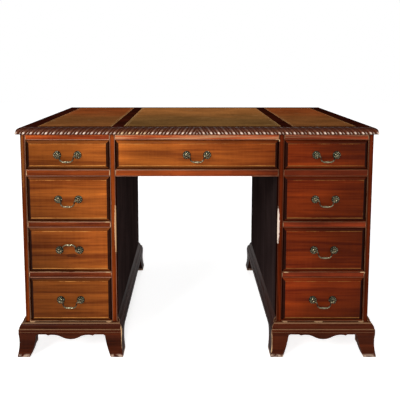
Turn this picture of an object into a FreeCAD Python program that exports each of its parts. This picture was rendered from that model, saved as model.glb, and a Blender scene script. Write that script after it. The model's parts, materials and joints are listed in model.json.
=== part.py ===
# Twin-pedestal writing desk: nine drawers, a leather top and a moulded plinth on bracket feet.
# Millimetres, +Z up. The origin is on the floor under the middle of the carcass, and the
# sitter is on the -Y side, which the drawers slide out to.
import FreeCAD, Part
import math
import os
import re

import Sketcher

SHEET = "Sizes"
SIZES = {
    # Whole desk
    "top_width": 1200,
    "top_depth": 600,
    "desk_height": 790,
    "top_overhang": 11,
    "back_overhang": 25,
    "pedestal_width": 316.5,
    # Top: edge moulding, crossbanding and leather
    "edge_height": 22,
    "edge_width": 16,
    "edge_roll": 14.5,
    "edge_radius": 17,
    "edge_lip": 3,
    "edge_foot": 2,
    "edge_undercut": 1.5,
    "veneer_thickness": 1.5,
    "end_border": 46,
    "long_border": 18,
    "divider_width": 37,
    "left_divider_place": 267,
    "right_divider_place": 304,
    "leather_thickness": 1.2,
    # Carcass boards
    "stile_width": 18,
    "stile_depth": 22,
    "corner_radius": 6,
    "back_thickness": 12,
    "bottom_thickness": 12,
    "soffit_thickness": 10,
    # Rails and the openings between them, from the top down
    "rail_depth": 60,
    "top_rail_height": 20,
    "frieze_opening": 100,
    "frieze_rail_height": 23,
    "drawer_rail_height": 20,
    "bead_radius": 1.5,
    # Strips that carry and stop the drawers
    "runner_width": 14,
    "stop_width": 25,
    "stop_depth": 20,
    "stop_height": 5,
    "stop_gap": 0.3,
    "stop_inset": 40,
    # Screws up through the kickers into the top
    "screw_radius": 2,
    "screw_head_radius": 4,
    "screw_head_height": 3,
    "screw_bite": 12,
    "screw_inset": 85,
    # Plinth boards and splayed feet
    "plinth_height": 88,
    "plinth_offset": 18,
    "plinth_seat": 10,
    "plinth_band": 7,
    "foot_flare": 3.5,
    "foot_hollow_radius": 210,
    "toe_height": 8,
    "toe_inset": 4,
    "toe_radius": 6,
    "block_size": 20,
    "block_height": 60,
    # Foot and apron outline, measured in from the end of a plinth board
    "foot_floor_width": 37,
    "foot_inner_radius": 220,
    "foot_neck_width": 58,
    "foot_neck_height": 73,
    "apron_height": 81,
    "apron_flat_end": 94,
    "cusp_place": 100,
    "cusp_height": 76.5,
    "scroll_place": 116,
    "scroll_height": 79.5,
    "scroll_radius": 30,
    "drop_height": 63,
    # Base moulding on top of the plinth
    "base_height": 29,
    "cap_height": 10,
    "cap_step": 2.5,
    "ovolo_radius": 16,
    "quirk_width": 1.5,
    "ledge_width": 8,
    "ledge_height": 2.5,
    "shoulder_height": 15,
    "shoulder_radius": 30,
    "feather_edge": 0.8,
    # Drawers
    "drawer_gap": 1.25,
    "run_clearance": 0.3,
    "front_thickness": 22,
    "field_proud": 2,
    "field_step": 2,
    "field_border": 11,
    "border_depth": 9,
    "border_radius": 10,
    "side_thickness": 10,
    "side_lap": 10,
    "pin_width": 9,
    "pin_tip": 4,
    "side_headroom": 6,
    "back_headroom": 10,
    "back_inset": 8,
    "tray_thickness": 6,
    "tray_rise": 8,
    "tray_groove": 5,
    "rear_gap": 20,
    # Swan-neck handles
    "post_spacing": 68,
    "pivot_reach": 13,
    "shank_radius": 2.5,
    "shank_clearance": 0.2,
    "collar_radius": 4.5,
    "collar_height": 1.5,
    "neck_radius": 3.2,
    "neck_taper": 1.5,
    "ball_radius": 5.5,
    "rosette_radius": 13.5,
    "rosette_height": 4,
    "rosette_rim": 1,
    "rosette_crown": 6,
    "rosette_dome_radius": 12,
    "nut_radius": 4.6,
    "nut_height": 4,
    "shank_tail": 2,
    "bail_radius": 2.25,
    "pin_clearance": 0.05,
    "pin_stop": 2,
    "bail_gap": 0.5,
    "elbow_radius": 5,
    "bow_radius": 13,
    "bail_drop": 21,
    "grip_half_length": 13,
    "grip_radius": 3.75,
    "lean_gap": 0.6,
    # Cutting tools reach this far past the wood, and mitre tools this far in
    "overrun": 5,
    "mitre_depth": 60,
}

# Lengths worked out from the sizes
CARCASS_HALF = "(top_width / 2 - top_overhang)"
KNEE_HALF = f"({CARCASS_HALF} - pedestal_width)"
PEDESTAL_PLACE = f"({CARCASS_HALF} - pedestal_width / 2)"
OPENING_HALF = "(pedestal_width / 2 - stile_width)"
CARCASS_DEPTH = "(top_depth - top_overhang - back_overhang)"
FRONT = f"(-{CARCASS_DEPTH} / 2)"
BACK = f"({CARCASS_DEPTH} / 2)"
BACK_INSIDE = f"({BACK} - back_thickness)"
RAIL_BACK = f"({FRONT} + rail_depth)"
TOP_MIDDLE = f"({FRONT} - top_overhang + top_depth / 2)"
TOP_UNDER = "(desk_height - edge_height)"
TOP_FACE = "(desk_height - veneer_thickness)"
FRIEZE_TOP = f"({TOP_UNDER} - top_rail_height)"
FRIEZE_BOTTOM = f"({FRIEZE_TOP} - frieze_opening)"
FRIEZE_UNDER = f"({FRIEZE_BOTTOM} - frieze_rail_height)"
LEDGE = "(plinth_height + base_height)"
PEDESTAL_ROWS = 3
DRAWER_TAILS = 4
ROW_PITCH = f"(({FRIEZE_UNDER} + drawer_rail_height - {LEDGE}) / {PEDESTAL_ROWS})"
PEDESTAL_OPENING = f"({ROW_PITCH} - drawer_rail_height)"
ROW_TOPS = [f"({FRIEZE_UNDER} - {row} * {ROW_PITCH})" for row in range(PEDESTAL_ROWS)]
ROW_BOTTOMS = [f"({top} - {PEDESTAL_OPENING})" for top in ROW_TOPS]
FLOOR_TOP = "(plinth_height + bottom_thickness)"
FIELD_FACE = "(-field_proud)"
FRONT_BACK = "(front_thickness - field_proud)"
DRAWER_END = f"({CARCASS_DEPTH} - back_thickness - rear_gap)"
POST_PLACE = "(post_spacing / 2)"
LEG_PLACE = f"({POST_PLACE} - ball_radius - bail_gap - elbow_radius)"

doc = FreeCAD.newDocument("PedestalDesk")
sheet = doc.addObject("Spreadsheet::Sheet", SHEET)
for number, (size, amount) in enumerate(SIZES.items(), start=1):
    sheet.set(f"A{number}", size)
    sheet.set(f"B{number}", str(amount))
    sheet.setAlias(f"B{number}", size)
doc.recompute()

nodes = []


# Sheet and drawing helpers

def with_sheet(formula):
    """The formula with each size name pointed at its cell."""
    def cell(word):
        return f"{SHEET}.{word[0]}" if word[0] in SIZES else word[0]
    return re.sub(r"[a-z]\w*", cell, formula)


def value(formula):
    """The formula's present value."""
    return float(sheet.evalExpression(with_sheet(formula)))


def bind(thing, formulas):
    """Tie properties of a document object to formulas on the sheet."""
    for path, formula in formulas.items():
        thing.setExpression(path, with_sheet(formula))


def place(thing, x="0", y="0", z="0"):
    """Tie an object's place to the sheet."""
    bind(thing, {"Placement.Base.x": x, "Placement.Base.y": y, "Placement.Base.z": z})


def turn_about(thing, axis, degrees):
    """Turn an object about an axis through its own origin."""
    thing.Placement = FreeCAD.Placement(FreeCAD.Vector(), FreeCAD.Rotation(FreeCAD.Vector(*axis), degrees))


def minus(formula):
    """The formula with its sign changed."""
    return f"-({formula})"


def box(name, x, y, z):
    """A board given by its low and high faces along X, Y and Z."""
    board = doc.addObject("Part::Box", name)
    for side, (low, high) in zip(("Length", "Width", "Height"), (x, y, z)):
        bind(board, {side: f"({high}) - ({low})"})
    place(board, x[0], y[0], z[0])
    return board


def paired_boxes(name, x, y, z):
    """A board on the right and its mirror image on the left."""
    right = box(f"{name}Right", x, y, z)
    left = box(f"{name}Left", (minus(x[1]), minus(x[0])), y, z)
    return [left, right]


def rod(name, radius, length):
    """A round bar along its own Z."""
    bar = doc.addObject("Part::Cylinder", name)
    bind(bar, {"Radius": radius, "Height": length})
    return bar


def cut(name, base, tool):
    """Base with the tool taken away."""
    result = doc.addObject("Part::Cut", name)
    result.Base = base
    result.Tool = tool
    return result


def fuse(name, pieces):
    """The pieces joined into one."""
    result = doc.addObject("Part::MultiFuse", name)
    result.Shapes = pieces
    return result


def common(name, base, tool):
    """What base and tool share."""
    result = doc.addObject("Part::Common", name)
    result.Base = base
    result.Tool = tool
    return result


def reflected(name, source):
    """The mirror image of a piece across the middle plane."""
    image = doc.addObject("Part::Mirroring", name)
    image.Source = source
    image.Normal = FreeCAD.Vector(1, 0, 0)
    return image


def group(name, pieces, x="0", y="0", z="0"):
    """Separate solids kept together, and put in their place."""
    compound = doc.addObject("Part::Compound", name)
    compound.Links = pieces
    place(compound, x, y, z)
    return compound


def node(thing, label):
    """Name a finished sub-part."""
    thing.Label = label
    nodes.append(thing)


def arc(start, end, radius, bend):
    """The short arc from start to end that bends left (1) or right (-1)."""
    chord = end - start
    middle = (start + end) / 2
    aside = FreeCAD.Vector(-chord.y, chord.x, 0).normalize() * bend
    centre = middle + aside * math.sqrt(max(radius**2 - chord.Length**2 / 4, 0))
    return Part.Arc(start, centre - aside * radius, end)


def draw(sketch, outline, closed=True):
    """Draw an outline and tie each corner to the sheet.

    A corner is (across, up), or (across, up, radius, bend) where an arc arrives at it.
    """
    corners = [FreeCAD.Vector(value(corner[0]), value(corner[1]), 0) for corner in outline]
    ends = []
    for index in range(0 if closed else 1, len(outline)):
        start = corners[index - 1]
        end = corners[index]
        if len(outline[index]) == 2:
            edge = sketch.addGeometry(Part.LineSegment(start, end), False)
        else:
            radius, bend = outline[index][2:]
            edge = sketch.addGeometry(arc(start, end, value(radius), bend), False)
            rule = sketch.addConstraint(Sketcher.Constraint("Radius", edge, value(radius)))
            sketch.renameConstraint(rule, f"radius{index}")
            bind(sketch, {f"Constraints.radius{index}": radius})
        forward = (sketch.getPoint(edge, 1) - start).Length < (sketch.getPoint(edge, 2) - start).Length
        ends.append((edge, 1, 2) if forward else (edge, 2, 1))
        pin_corner(sketch, edge, ends[-1][2], f"{index}", outline[index])
    if not closed:
        pin_corner(sketch, ends[0][0], ends[0][1], "Start", outline[0])
    joins = zip(ends, ends[1:] + ends[:1]) if closed else zip(ends, ends[1:])
    for (before, _, last), (after, first, _) in joins:
        sketch.addConstraint(Sketcher.Constraint("Coincident", before, last, after, first))


def pin_corner(sketch, edge, vertex, tag, corner):
    """Hold one corner of a sketch at its formulas."""
    for kind, formula in zip(("DistanceX", "DistanceY"), corner):
        rule = sketch.addConstraint(Sketcher.Constraint(kind, -1, 1, edge, vertex, value(formula)))
        sketch.renameConstraint(rule, f"{kind}{tag}")
        bind(sketch, {f"Constraints.{kind}{tag}": formula})


def mirrored(half_outline):
    """A whole outline from its right half, drawn from one end to the other."""
    left = []
    last = len(half_outline) - 1
    for index in range(last, -1, -1):
        across, up = half_outline[index][:2]
        bend = half_outline[index + 1][2:] if index < last else ()
        if index < last or across != "0":
            left.append((minus(across), up, *bend))
    return list(half_outline) + left


def sketch_in(body, name, role, offset="0", lift="0"):
    """A sketch on one of the body's own planes, moved along that plane's normal."""
    sketch = body.newObject("Sketcher::SketchObject", name)
    plane = next(feature for feature in body.Origin.OriginFeatures if feature.Role == role)
    sketch.AttachmentSupport = [(plane, "")]
    sketch.MapMode = "FlatFace"
    bind(sketch, {"AttachmentOffset.Base.z": offset, "AttachmentOffset.Base.y": lift})
    return sketch


def padded(name, role, outline, low, high):
    """A body padded from an outline, between two places along the plane's row axis."""
    body = doc.addObject("PartDesign::Body", name)
    # The XZ plane's normal points along -Y, so its pad starts at the high end
    start = minus(high) if role == "XZ_Plane" else low
    sketch = sketch_in(body, f"{name}Outline", role, start)
    draw(sketch, outline)
    pad = body.newObject("PartDesign::Pad", f"{name}Pad")
    pad.Profile = sketch
    bind(pad, {"Length": f"({high}) - ({low})"})
    return body


def turned(name, outline):
    """A body turned on the Y axis from its half outline."""
    body = doc.addObject("PartDesign::Body", name)
    sketch = sketch_in(body, f"{name}Outline", "XY_Plane")
    draw(sketch, outline)
    spin = body.newObject("PartDesign::Revolution", f"{name}Turning")
    spin.Profile = sketch
    spin.ReferenceAxis = (sketch, ["V_Axis"])
    return body


def moulded_block(name, profile, half_x, half_y, reach_x, reach_y):
    """A block whose four sides all have one profile, so that its corners are mitred."""
    ends = padded(f"{name}Ends", "XZ_Plane", mirrored(profile(half_x)), minus(f"{reach_y} + overrun"),
                  f"{reach_y} + overrun")
    sides = padded(f"{name}Sides", "YZ_Plane", mirrored(profile(half_y)), minus(f"{reach_x} + overrun"),
                   f"{reach_x} + overrun")
    return common(f"{name}Block", ends, sides)


def mitred(name, ring, reach_x, reach_y, low, high):
    """A ring sawn at its corners into four lengths."""
    far_x = f"({reach_x} + overrun)"
    far_y = f"({reach_y} + overrun)"
    near_x = f"({reach_x} - mitre_depth)"
    near_y = f"({reach_y} - mitre_depth)"
    front = [(minus(far_x), minus(far_y)), (far_x, minus(far_y)),
             (near_x, minus(near_y)), (minus(near_x), minus(near_y))]
    right = [(far_x, minus(far_y)), (far_x, far_y), (near_x, near_y), (near_x, minus(near_y))]
    back = [(x, minus(y)) for x, y in front]
    left = [(minus(x), y) for x, y in right]
    lengths = []
    for side, outline in {"Front": front, "Right": right, "Back": back, "Left": left}.items():
        wedge = padded(f"{name}{side}Mitre", "XY_Plane", outline, f"{low} - overrun", f"{high} + overrun")
        lengths.append(common(f"{name}{side}", ring, wedge))
    return lengths


# Top

def edge_profile(half):
    """Ovolo edge of the top: a nose low down, rolling back to the flat."""
    return [
        (f"{half} - edge_undercut", TOP_UNDER),
        (half, f"{TOP_UNDER} + edge_foot"),
        (half, f"{TOP_UNDER} + edge_foot + edge_lip"),
        (f"{half} - edge_roll", "desk_height", "edge_radius", 1),
    ]


def make_top():
    """Board, crossbanding, leather and the mitred edge mouldings."""
    board_x = "(top_width / 2 - edge_width)"
    board_y = "(top_depth / 2 - edge_width)"
    leather_x = f"({board_x} - end_border)"
    leather_y = f"({board_y} - long_border)"
    front = f"({TOP_MIDDLE} - {board_y})"
    back = f"({TOP_MIDDLE} + {board_y})"
    node(box("TopBoard", (minus(board_x), board_x), (front, back), (TOP_UNDER, TOP_FACE)), "top_board")

    band_z = (TOP_FACE, "desk_height")
    long_band = [(minus(board_x), minus(board_y)), (board_x, minus(board_y)),
                 (leather_x, minus(leather_y)), (minus(leather_x), minus(leather_y))]
    end_band = [(board_x, minus(board_y)), (board_x, board_y),
                (leather_x, leather_y), (leather_x, minus(leather_y))]
    bands = [
        padded("BandFront", "XY_Plane", long_band, *band_z),
        padded("BandBack", "XY_Plane", [(x, minus(y)) for x, y in long_band], *band_z),
        padded("BandRight", "XY_Plane", end_band, *band_z),
        padded("BandLeft", "XY_Plane", [(minus(x), y) for x, y in end_band], *band_z),
    ]
    # The dividers were laid by eye, a little to the right of the middle
    dividers = {
        "Left": ("-left_divider_place - divider_width / 2", "-left_divider_place + divider_width / 2"),
        "Right": ("right_divider_place - divider_width / 2", "right_divider_place + divider_width / 2"),
    }
    leather_span = (minus(leather_y), leather_y)
    bands += [box(f"Divider{hand}", x, leather_span, band_z) for hand, x in dividers.items()]
    node(group("Bands", bands, y=TOP_MIDDLE), "top_crossbanding")

    hide_z = (TOP_FACE, f"{TOP_FACE} + leather_thickness")
    panels = {
        "Left": (minus(leather_x), dividers["Left"][0]),
        "Centre": (dividers["Left"][1], dividers["Right"][0]),
        "Right": (dividers["Right"][1], leather_x),
    }
    hides = [box(f"Hide{place}", x, leather_span, hide_z) for place, x in panels.items()]
    node(group("Hides", hides, y=TOP_MIDDLE), "leather_panels")

    reach = ("top_width / 2", "top_depth / 2")
    block = moulded_block("Edge", edge_profile, *reach, *reach)
    core = box("EdgeCore", (minus(board_x), board_x), (minus(board_y), board_y),
               (f"{TOP_UNDER} - overrun", "desk_height + overrun"))
    ring = cut("EdgeRing", block, core)
    lengths = mitred("Edge", ring, *reach, TOP_UNDER, "desk_height")
    node(group("Edges", lengths, y=TOP_MIDDLE), "edge_mouldings")


# Carcass

def make_stiles():
    """Through stiles: the outer ones have a rounded front corner."""
    back = f"({FRONT} + stile_depth)"
    inner = f"({CARCASS_HALF} - stile_width)"
    outer = [
        (inner, FRONT),
        (f"{CARCASS_HALF} - corner_radius", FRONT),
        (CARCASS_HALF, f"{FRONT} + corner_radius", "corner_radius", 1),
        (CARCASS_HALF, back),
        (inner, back),
    ]
    other = [(minus(x), y, *((bend[0], -bend[1]) if bend else ())) for x, y, *bend in outer]
    span = ("plinth_height", TOP_UNDER)
    stiles = [padded("StileRight", "XY_Plane", outer, *span), padded("StileLeft", "XY_Plane", other, *span)]
    stiles += paired_boxes("KneeStile", (KNEE_HALF, f"{KNEE_HALF} + stile_width"), (FRONT, back), span)
    node(group("Stiles", stiles), "front_stiles")


def make_panels():
    """Sides, backs, bottoms and the soffit over the kneehole."""
    side_y = (f"{FRONT} + stile_depth", BACK)
    side_z = ("plinth_height", TOP_UNDER)
    outer = paired_boxes("OuterSide", (f"{CARCASS_HALF} - stile_width", CARCASS_HALF), side_y, side_z)
    inner = paired_boxes("KneeSide", (KNEE_HALF, f"{KNEE_HALF} + stile_width"), side_y, side_z)
    for hand, outside, inside in zip(("left", "right"), outer, inner):
        node(outside, f"outer_side_{hand}")
        node(inside, f"kneehole_side_{hand}")
    opening = (f"{PEDESTAL_PLACE} - {OPENING_HALF}", f"{PEDESTAL_PLACE} + {OPENING_HALF}")
    back_y = (BACK_INSIDE, BACK)
    node(group("Backs", paired_boxes("Back", opening, back_y, side_z)), "pedestal_backs")
    knee = (minus(KNEE_HALF), KNEE_HALF)
    node(box("FriezeBack", knee, back_y, (FRIEZE_UNDER, TOP_UNDER)), "frieze_back")
    inside_y = (RAIL_BACK, BACK_INSIDE)
    soffit_z = (FRIEZE_UNDER, f"{FRIEZE_UNDER} + soffit_thickness")
    node(box("Soffit", knee, inside_y, soffit_z), "kneehole_soffit")
    bottoms = paired_boxes("Bottom", opening, inside_y, ("plinth_height", FLOOR_TOP))
    node(group("Bottoms", bottoms), "bottom_boards")


def make_rails():
    """Rails between the stiles, over, between and under the drawers."""
    opening = (f"{PEDESTAL_PLACE} - {OPENING_HALF}", f"{PEDESTAL_PLACE} + {OPENING_HALF}")
    knee = (minus(KNEE_HALF), KNEE_HALF)
    deep = (FRONT, RAIL_BACK)
    top_z = (FRIEZE_TOP, TOP_UNDER)
    frieze_z = (FRIEZE_UNDER, FRIEZE_BOTTOM)
    frieze = paired_boxes("TopRail", opening, deep, top_z) + [box("TopRailCentre", knee, deep, top_z)]
    frieze += paired_boxes("FriezeRail", opening, deep, frieze_z) + [box("Lintel", knee, deep, frieze_z)]
    node(group("FriezeRails", frieze), "frieze_rails")
    rails = paired_boxes("BaseRail", opening, deep, ("plinth_height", LEDGE))
    for row in range(1, PEDESTAL_ROWS):
        rails += paired_boxes(f"DrawerRail{row}", opening, deep, (ROW_TOPS[row], ROW_BOTTOMS[row - 1]))
    node(group("DrawerRails", rails), "drawer_rails")


def bead(name, low, high, axis):
    """A half-round strip on the front face, between two points, along X or Z."""
    strip = rod(name, "bead_radius", f"({high[axis]}) - ({low[axis]})")
    strip.Angle = 180
    # The half round is made on +Y, so it is turned to stand out towards -Y
    if axis == 0:
        turn = FreeCAD.Rotation(FreeCAD.Vector(0, 0, 1), FreeCAD.Vector(0, -1, 0), FreeCAD.Vector(1, 0, 0))
    else:
        turn = FreeCAD.Rotation(FreeCAD.Vector(0, 0, 1), 180)
    strip.Placement = FreeCAD.Placement(FreeCAD.Vector(), turn)
    place(strip, low[0], FRONT, low[1])
    return strip


def make_beads():
    """Beads along the stiles, and along each rail between them."""
    strips = []
    outer = f"({CARCASS_HALF} - stile_width + bead_radius)"
    inner = f"({KNEE_HALF} + stile_width - bead_radius)"
    knee = f"({KNEE_HALF} + bead_radius)"
    for tag, x in {"Outer": outer, "Inner": inner, "Knee": knee}.items():
        for hand, place_x in {"Right": x, "Left": minus(x)}.items():
            strips.append(bead(f"Bead{tag}{hand}", (place_x, LEDGE), (place_x, TOP_UNDER), 1))
    frieze_heights = [
        f"{FRIEZE_TOP} + bead_radius",
        f"{FRIEZE_BOTTOM} - bead_radius",
        f"{FRIEZE_UNDER} + bead_radius",
    ]
    rail_heights = []
    for row in range(1, PEDESTAL_ROWS):
        rail_heights += [f"{ROW_BOTTOMS[row - 1]} - bead_radius", f"{ROW_TOPS[row]} + bead_radius"]
    for count, z in enumerate(frieze_heights):
        strips.append(bead(f"BeadLintel{count}", (minus(KNEE_HALF), z), (KNEE_HALF, z), 0))
    for hand, middle in {"Right": PEDESTAL_PLACE, "Left": minus(PEDESTAL_PLACE)}.items():
        ends = (f"{middle} - {OPENING_HALF}", f"{middle} + {OPENING_HALF}")
        for count, z in enumerate(frieze_heights + rail_heights):
            strips.append(bead(f"Bead{hand}{count}", (ends[0], z), (ends[1], z), 0))
    node(group("Beads", strips), "cock_beads")


def strip_pairs(name, middle, half, z):
    """Two strips, one along each side of a drawer's space."""
    inside_y = (RAIL_BACK, BACK_INSIDE)
    left = box(f"{name}A", (f"{middle} - {half}", f"{middle} - {half} + runner_width"), inside_y, z)
    right = box(f"{name}B", (f"{middle} + {half} - runner_width", f"{middle} + {half}"), inside_y, z)
    return [left, right]


def stop_pair(name, middle, half, z):
    """Two blocks on a rail, just behind a closed drawer's front."""
    y = (f"{FRONT} + {FRONT_BACK} + stop_gap", f"{FRONT} + {FRONT_BACK} + stop_gap + stop_depth")
    tall = (z, f"{z} + stop_height")
    left = f"({middle} - {half} + stop_inset)"
    right = f"({middle} + {half} - stop_inset)"
    return [
        box(f"{name}A", (left, f"{left} + stop_width"), y, tall),
        box(f"{name}B", (f"{right} - stop_width", right), y, tall),
    ]


def screw(name, x, y):
    """A countersunk screw, driven up through a kicker into the top board."""
    head = doc.addObject("Part::Cone", f"{name}Head")
    bind(head, {"Radius1": "screw_head_radius", "Radius2": "screw_radius", "Height": "screw_head_height"})
    shank = rod(f"{name}Shank", "screw_radius", "top_rail_height + screw_bite")
    whole = fuse(name, [head, shank])
    place(whole, x, y, FRIEZE_TOP)
    return whole


def make_running_gear():
    """Runners, kickers, stops, and the screws through the kickers."""
    runners = []
    stops = []
    kickers = []
    screws = []
    columns = {
        "Left": (minus(PEDESTAL_PLACE), OPENING_HALF),
        "Centre": ("0", KNEE_HALF),
        "Right": (PEDESTAL_PLACE, OPENING_HALF),
    }
    over_soffit = (f"{FRIEZE_UNDER} + soffit_thickness", FRIEZE_BOTTOM)
    levels = [(FRIEZE_UNDER, FRIEZE_BOTTOM)]
    for row in range(1, PEDESTAL_ROWS):
        levels.append((ROW_TOPS[row], ROW_BOTTOMS[row - 1]))
    levels.append((FLOOR_TOP, LEDGE))
    for hand, (middle, half) in columns.items():
        for row, level in enumerate([over_soffit] if hand == "Centre" else levels):
            runners += strip_pairs(f"Runner{hand}{row}", middle, half, level)
            stops += stop_pair(f"Stop{hand}{row}", middle, half, level[1])
        kickers += strip_pairs(f"Kicker{hand}", middle, half, (FRIEZE_TOP, TOP_UNDER))
        kicker_half = f"({half} - runner_width / 2)"
        for side, x in {"A": f"{middle} - {kicker_half}", "B": f"{middle} + {kicker_half}"}.items():
            screws.append(screw(f"Screw{hand}{side}Front", x, f"{RAIL_BACK} + screw_inset"))
            screws.append(screw(f"Screw{hand}{side}Back", x, f"{BACK_INSIDE} - screw_inset"))
    node(group("Runners", runners), "drawer_runners")
    node(group("Kickers", kickers), "kickers")
    node(group("Stops", stops), "drawer_stops")
    node(group("Screws", screws), "top_screws")


# Plinth

def base_profile(half):
    """Base moulding: square cap, ovolo, ledge, and a shoulder that dies against the sides."""
    return [
        (f"{half} + plinth_offset", "plinth_height"),
        (f"{half} + plinth_offset", "plinth_height + cap_height"),
        (f"{half} + plinth_offset - cap_step", "plinth_height + cap_height"),
        (f"{half} + ledge_width + quirk_width", f"{LEDGE} - ledge_height", "ovolo_radius", 1),
        (f"{half} + ledge_width", f"{LEDGE} - ledge_height"),
        (f"{half} + ledge_width", LEDGE),
        (f"{half} + feather_edge", f"{LEDGE} + shoulder_height", "shoulder_radius", 1),
    ]


def plinth_profile(half):
    """Plinth board: a plain band over a hollow that splays out to the toe."""
    face = f"{half} + plinth_offset"
    return [
        (f"{face} + foot_flare - toe_inset", "0"),
        (f"{face} + foot_flare", "toe_height", "toe_radius", 1),
        (face, "plinth_height - plinth_band", "foot_hollow_radius", -1),
        (face, "plinth_height"),
    ]


def foot_outline(end):
    """The open space between two feet, from the floor up to the apron's scroll."""
    shoulder = f"{end} - foot_neck_width - (apron_height - foot_neck_height)"
    return [
        (f"{end} - foot_floor_width", "-overrun"),
        (f"{end} - foot_floor_width", "0"),
        (f"{end} - foot_neck_width", "foot_neck_height", "foot_inner_radius", -1),
        (shoulder, "apron_height", "apron_height - foot_neck_height", 1),
        (f"{end} - apron_flat_end", "apron_height"),
        (f"{end} - cusp_place", "cusp_height"),
        (f"{end} - scroll_place", "scroll_height", "scroll_radius", 1),
    ]


def drop_outline(end):
    """The same space with an ogee down to a drop in the middle of the apron."""
    run = f"({end} - scroll_place)"
    fall = "(scroll_height - drop_height)"
    # Two like arcs that lie level at the scroll and at the drop
    ogee = f"({run} ^ 2 + {fall} ^ 2) / (4 * {fall})"
    return foot_outline(end) + [
        (f"{run} / 2", "(scroll_height + drop_height) / 2", ogee, 1),
        ("0", "drop_height", ogee, -1),
    ]


def make_plinths():
    """Base mouldings, plinth boards and glue blocks, made once and placed under each pedestal."""
    half_x = "pedestal_width / 2"
    half_y = BACK
    reach_x = f"({half_x} + plinth_offset + foot_flare)"
    reach_y = f"({half_y} + plinth_offset + foot_flare)"
    top = f"({LEDGE} + shoulder_height)"

    block = moulded_block("Base", base_profile, half_x, half_y, reach_x, reach_y)
    core = box("BaseCore", (minus(half_x), half_x), (minus(half_y), half_y),
               ("plinth_height - overrun", f"{top} + overrun"))
    # The front length stops at the ledge, level with the floor of the lowest drawer
    gap = box("BaseFrontGap", (minus(reach_x), reach_x), (minus(reach_y), minus(half_y)),
              (LEDGE, f"{top} + overrun"))
    ring = cut("BaseRing", cut("BaseHollow", block, core), gap)
    mouldings = mitred("Base", ring, reach_x, reach_y, "plinth_height", top)

    block = moulded_block("Plinth", plinth_profile, half_x, half_y, reach_x, reach_y)
    inner_x = f"({half_x} - plinth_seat)"
    inner_y = f"({half_y} - plinth_seat)"
    core = box("PlinthCore", (minus(inner_x), inner_x), (minus(inner_y), inner_y),
               ("-overrun", "plinth_height + overrun"))
    arch = padded("ArchFront", "XZ_Plane", mirrored(drop_outline(f"({half_x} + plinth_offset)")),
                  minus(f"{reach_y} + overrun"), f"{reach_y} + overrun")
    side_arch = padded("ArchSide", "YZ_Plane", mirrored(foot_outline(f"({half_y} + plinth_offset)")),
                       minus(f"{reach_x} + overrun"), f"{reach_x} + overrun")
    ring = cut("PlinthRing", cut("PlinthArched", cut("PlinthHollow", block, core), arch), side_arch)
    boards = mitred("Plinth", ring, reach_x, reach_y, "0", "plinth_height")

    blocks = []
    block_z = ("plinth_height - block_height", "plinth_height")
    block_x = (f"{inner_x} - block_size", inner_x)
    blocks += paired_boxes("GlueBlockFront", block_x, (minus(inner_y), f"block_size - {inner_y}"), block_z)
    blocks += paired_boxes("GlueBlockBack", block_x, (f"{inner_y} - block_size", inner_y), block_z)

    all_mouldings = []
    all_blocks = []
    for hand, x in {"left": minus(PEDESTAL_PLACE), "right": PEDESTAL_PLACE}.items():
        all_mouldings.append(group(f"BaseSet{hand}", mouldings, x))
        all_blocks.append(group(f"BlockSet{hand}", blocks, x))
        node(group(f"PlinthSet{hand}", boards, x), f"plinth_{hand}")
    node(group("BaseMouldings", all_mouldings), "base_mouldings")
    node(group("GlueBlocks", all_blocks), "plinth_blocks")


# Drawers

def front_section(half):
    """Section through a drawer front: moulded edge, step and raised field."""
    return [
        (half, FRONT_BACK),
        (half, f"{FIELD_FACE} + border_depth"),
        (f"{half} - field_border", f"{FIELD_FACE} + field_step", "border_radius", -1),
        (f"{half} - field_border", FIELD_FACE),
    ]


def make_tails(name, opening_half, opening_height):
    """Dovetails on the front end of a drawer's right side, about the drawer's middle."""
    half_x = f"({opening_half} - drawer_gap)"
    inner_x = f"({half_x} - side_thickness)"
    floor = f"(run_clearance - {opening_height} / 2)"
    top = f"({opening_height} / 2 - side_headroom)"
    pitch = f"(({top} - {floor}) / {DRAWER_TAILS})"
    lap = f"({FRONT_BACK} - side_lap)"
    tails = []
    for count in range(DRAWER_TAILS):
        low = f"({floor} + {count} * {pitch})"
        high = f"({low} + {pitch})"
        outline = [
            (FRONT_BACK, f"{low} + pin_width / 2"),
            (FRONT_BACK, f"{high} - pin_width / 2"),
            (lap, f"{high} - pin_tip / 2"),
            (lap, f"{low} + pin_tip / 2"),
        ]
        tails.append(padded(f"{name}Tail{count}", "YZ_Plane", outline, inner_x, half_x))
    return tails


def make_front(name, opening_half, opening_height, tails):
    """A drawer front about its middle, bored for the handle posts and cut for the sides' dovetails."""
    half_x = f"({opening_half} - drawer_gap)"
    half_z = f"({opening_height} / 2 - drawer_gap)"
    across = mirrored(front_section(half_x))
    upright = mirrored(front_section(half_z))
    plan = padded(f"{name}Plan", "XY_Plane", across, minus(half_z), half_z)
    section = padded(f"{name}Section", "XY_Plane", upright, minus(half_x), half_x)
    turn_about(section, (0, 1, 0), 90)
    tools = tails + [reflected(f"{tail.Name}Left", tail) for tail in tails]
    for hand, x in {"Left": minus(POST_PLACE), "Right": POST_PLACE}.items():
        bore = rod(f"{name}Bore{hand}", "shank_radius + shank_clearance", "front_thickness + 2 * overrun")
        turn_about(bore, (1, 0, 0), -90)
        place(bore, x, f"{FIELD_FACE} - overrun")
        tools.append(bore)
    return cut(f"{name}Front", common(f"{name}Moulded", plan, section), group(f"{name}Cuts", tools))


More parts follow.
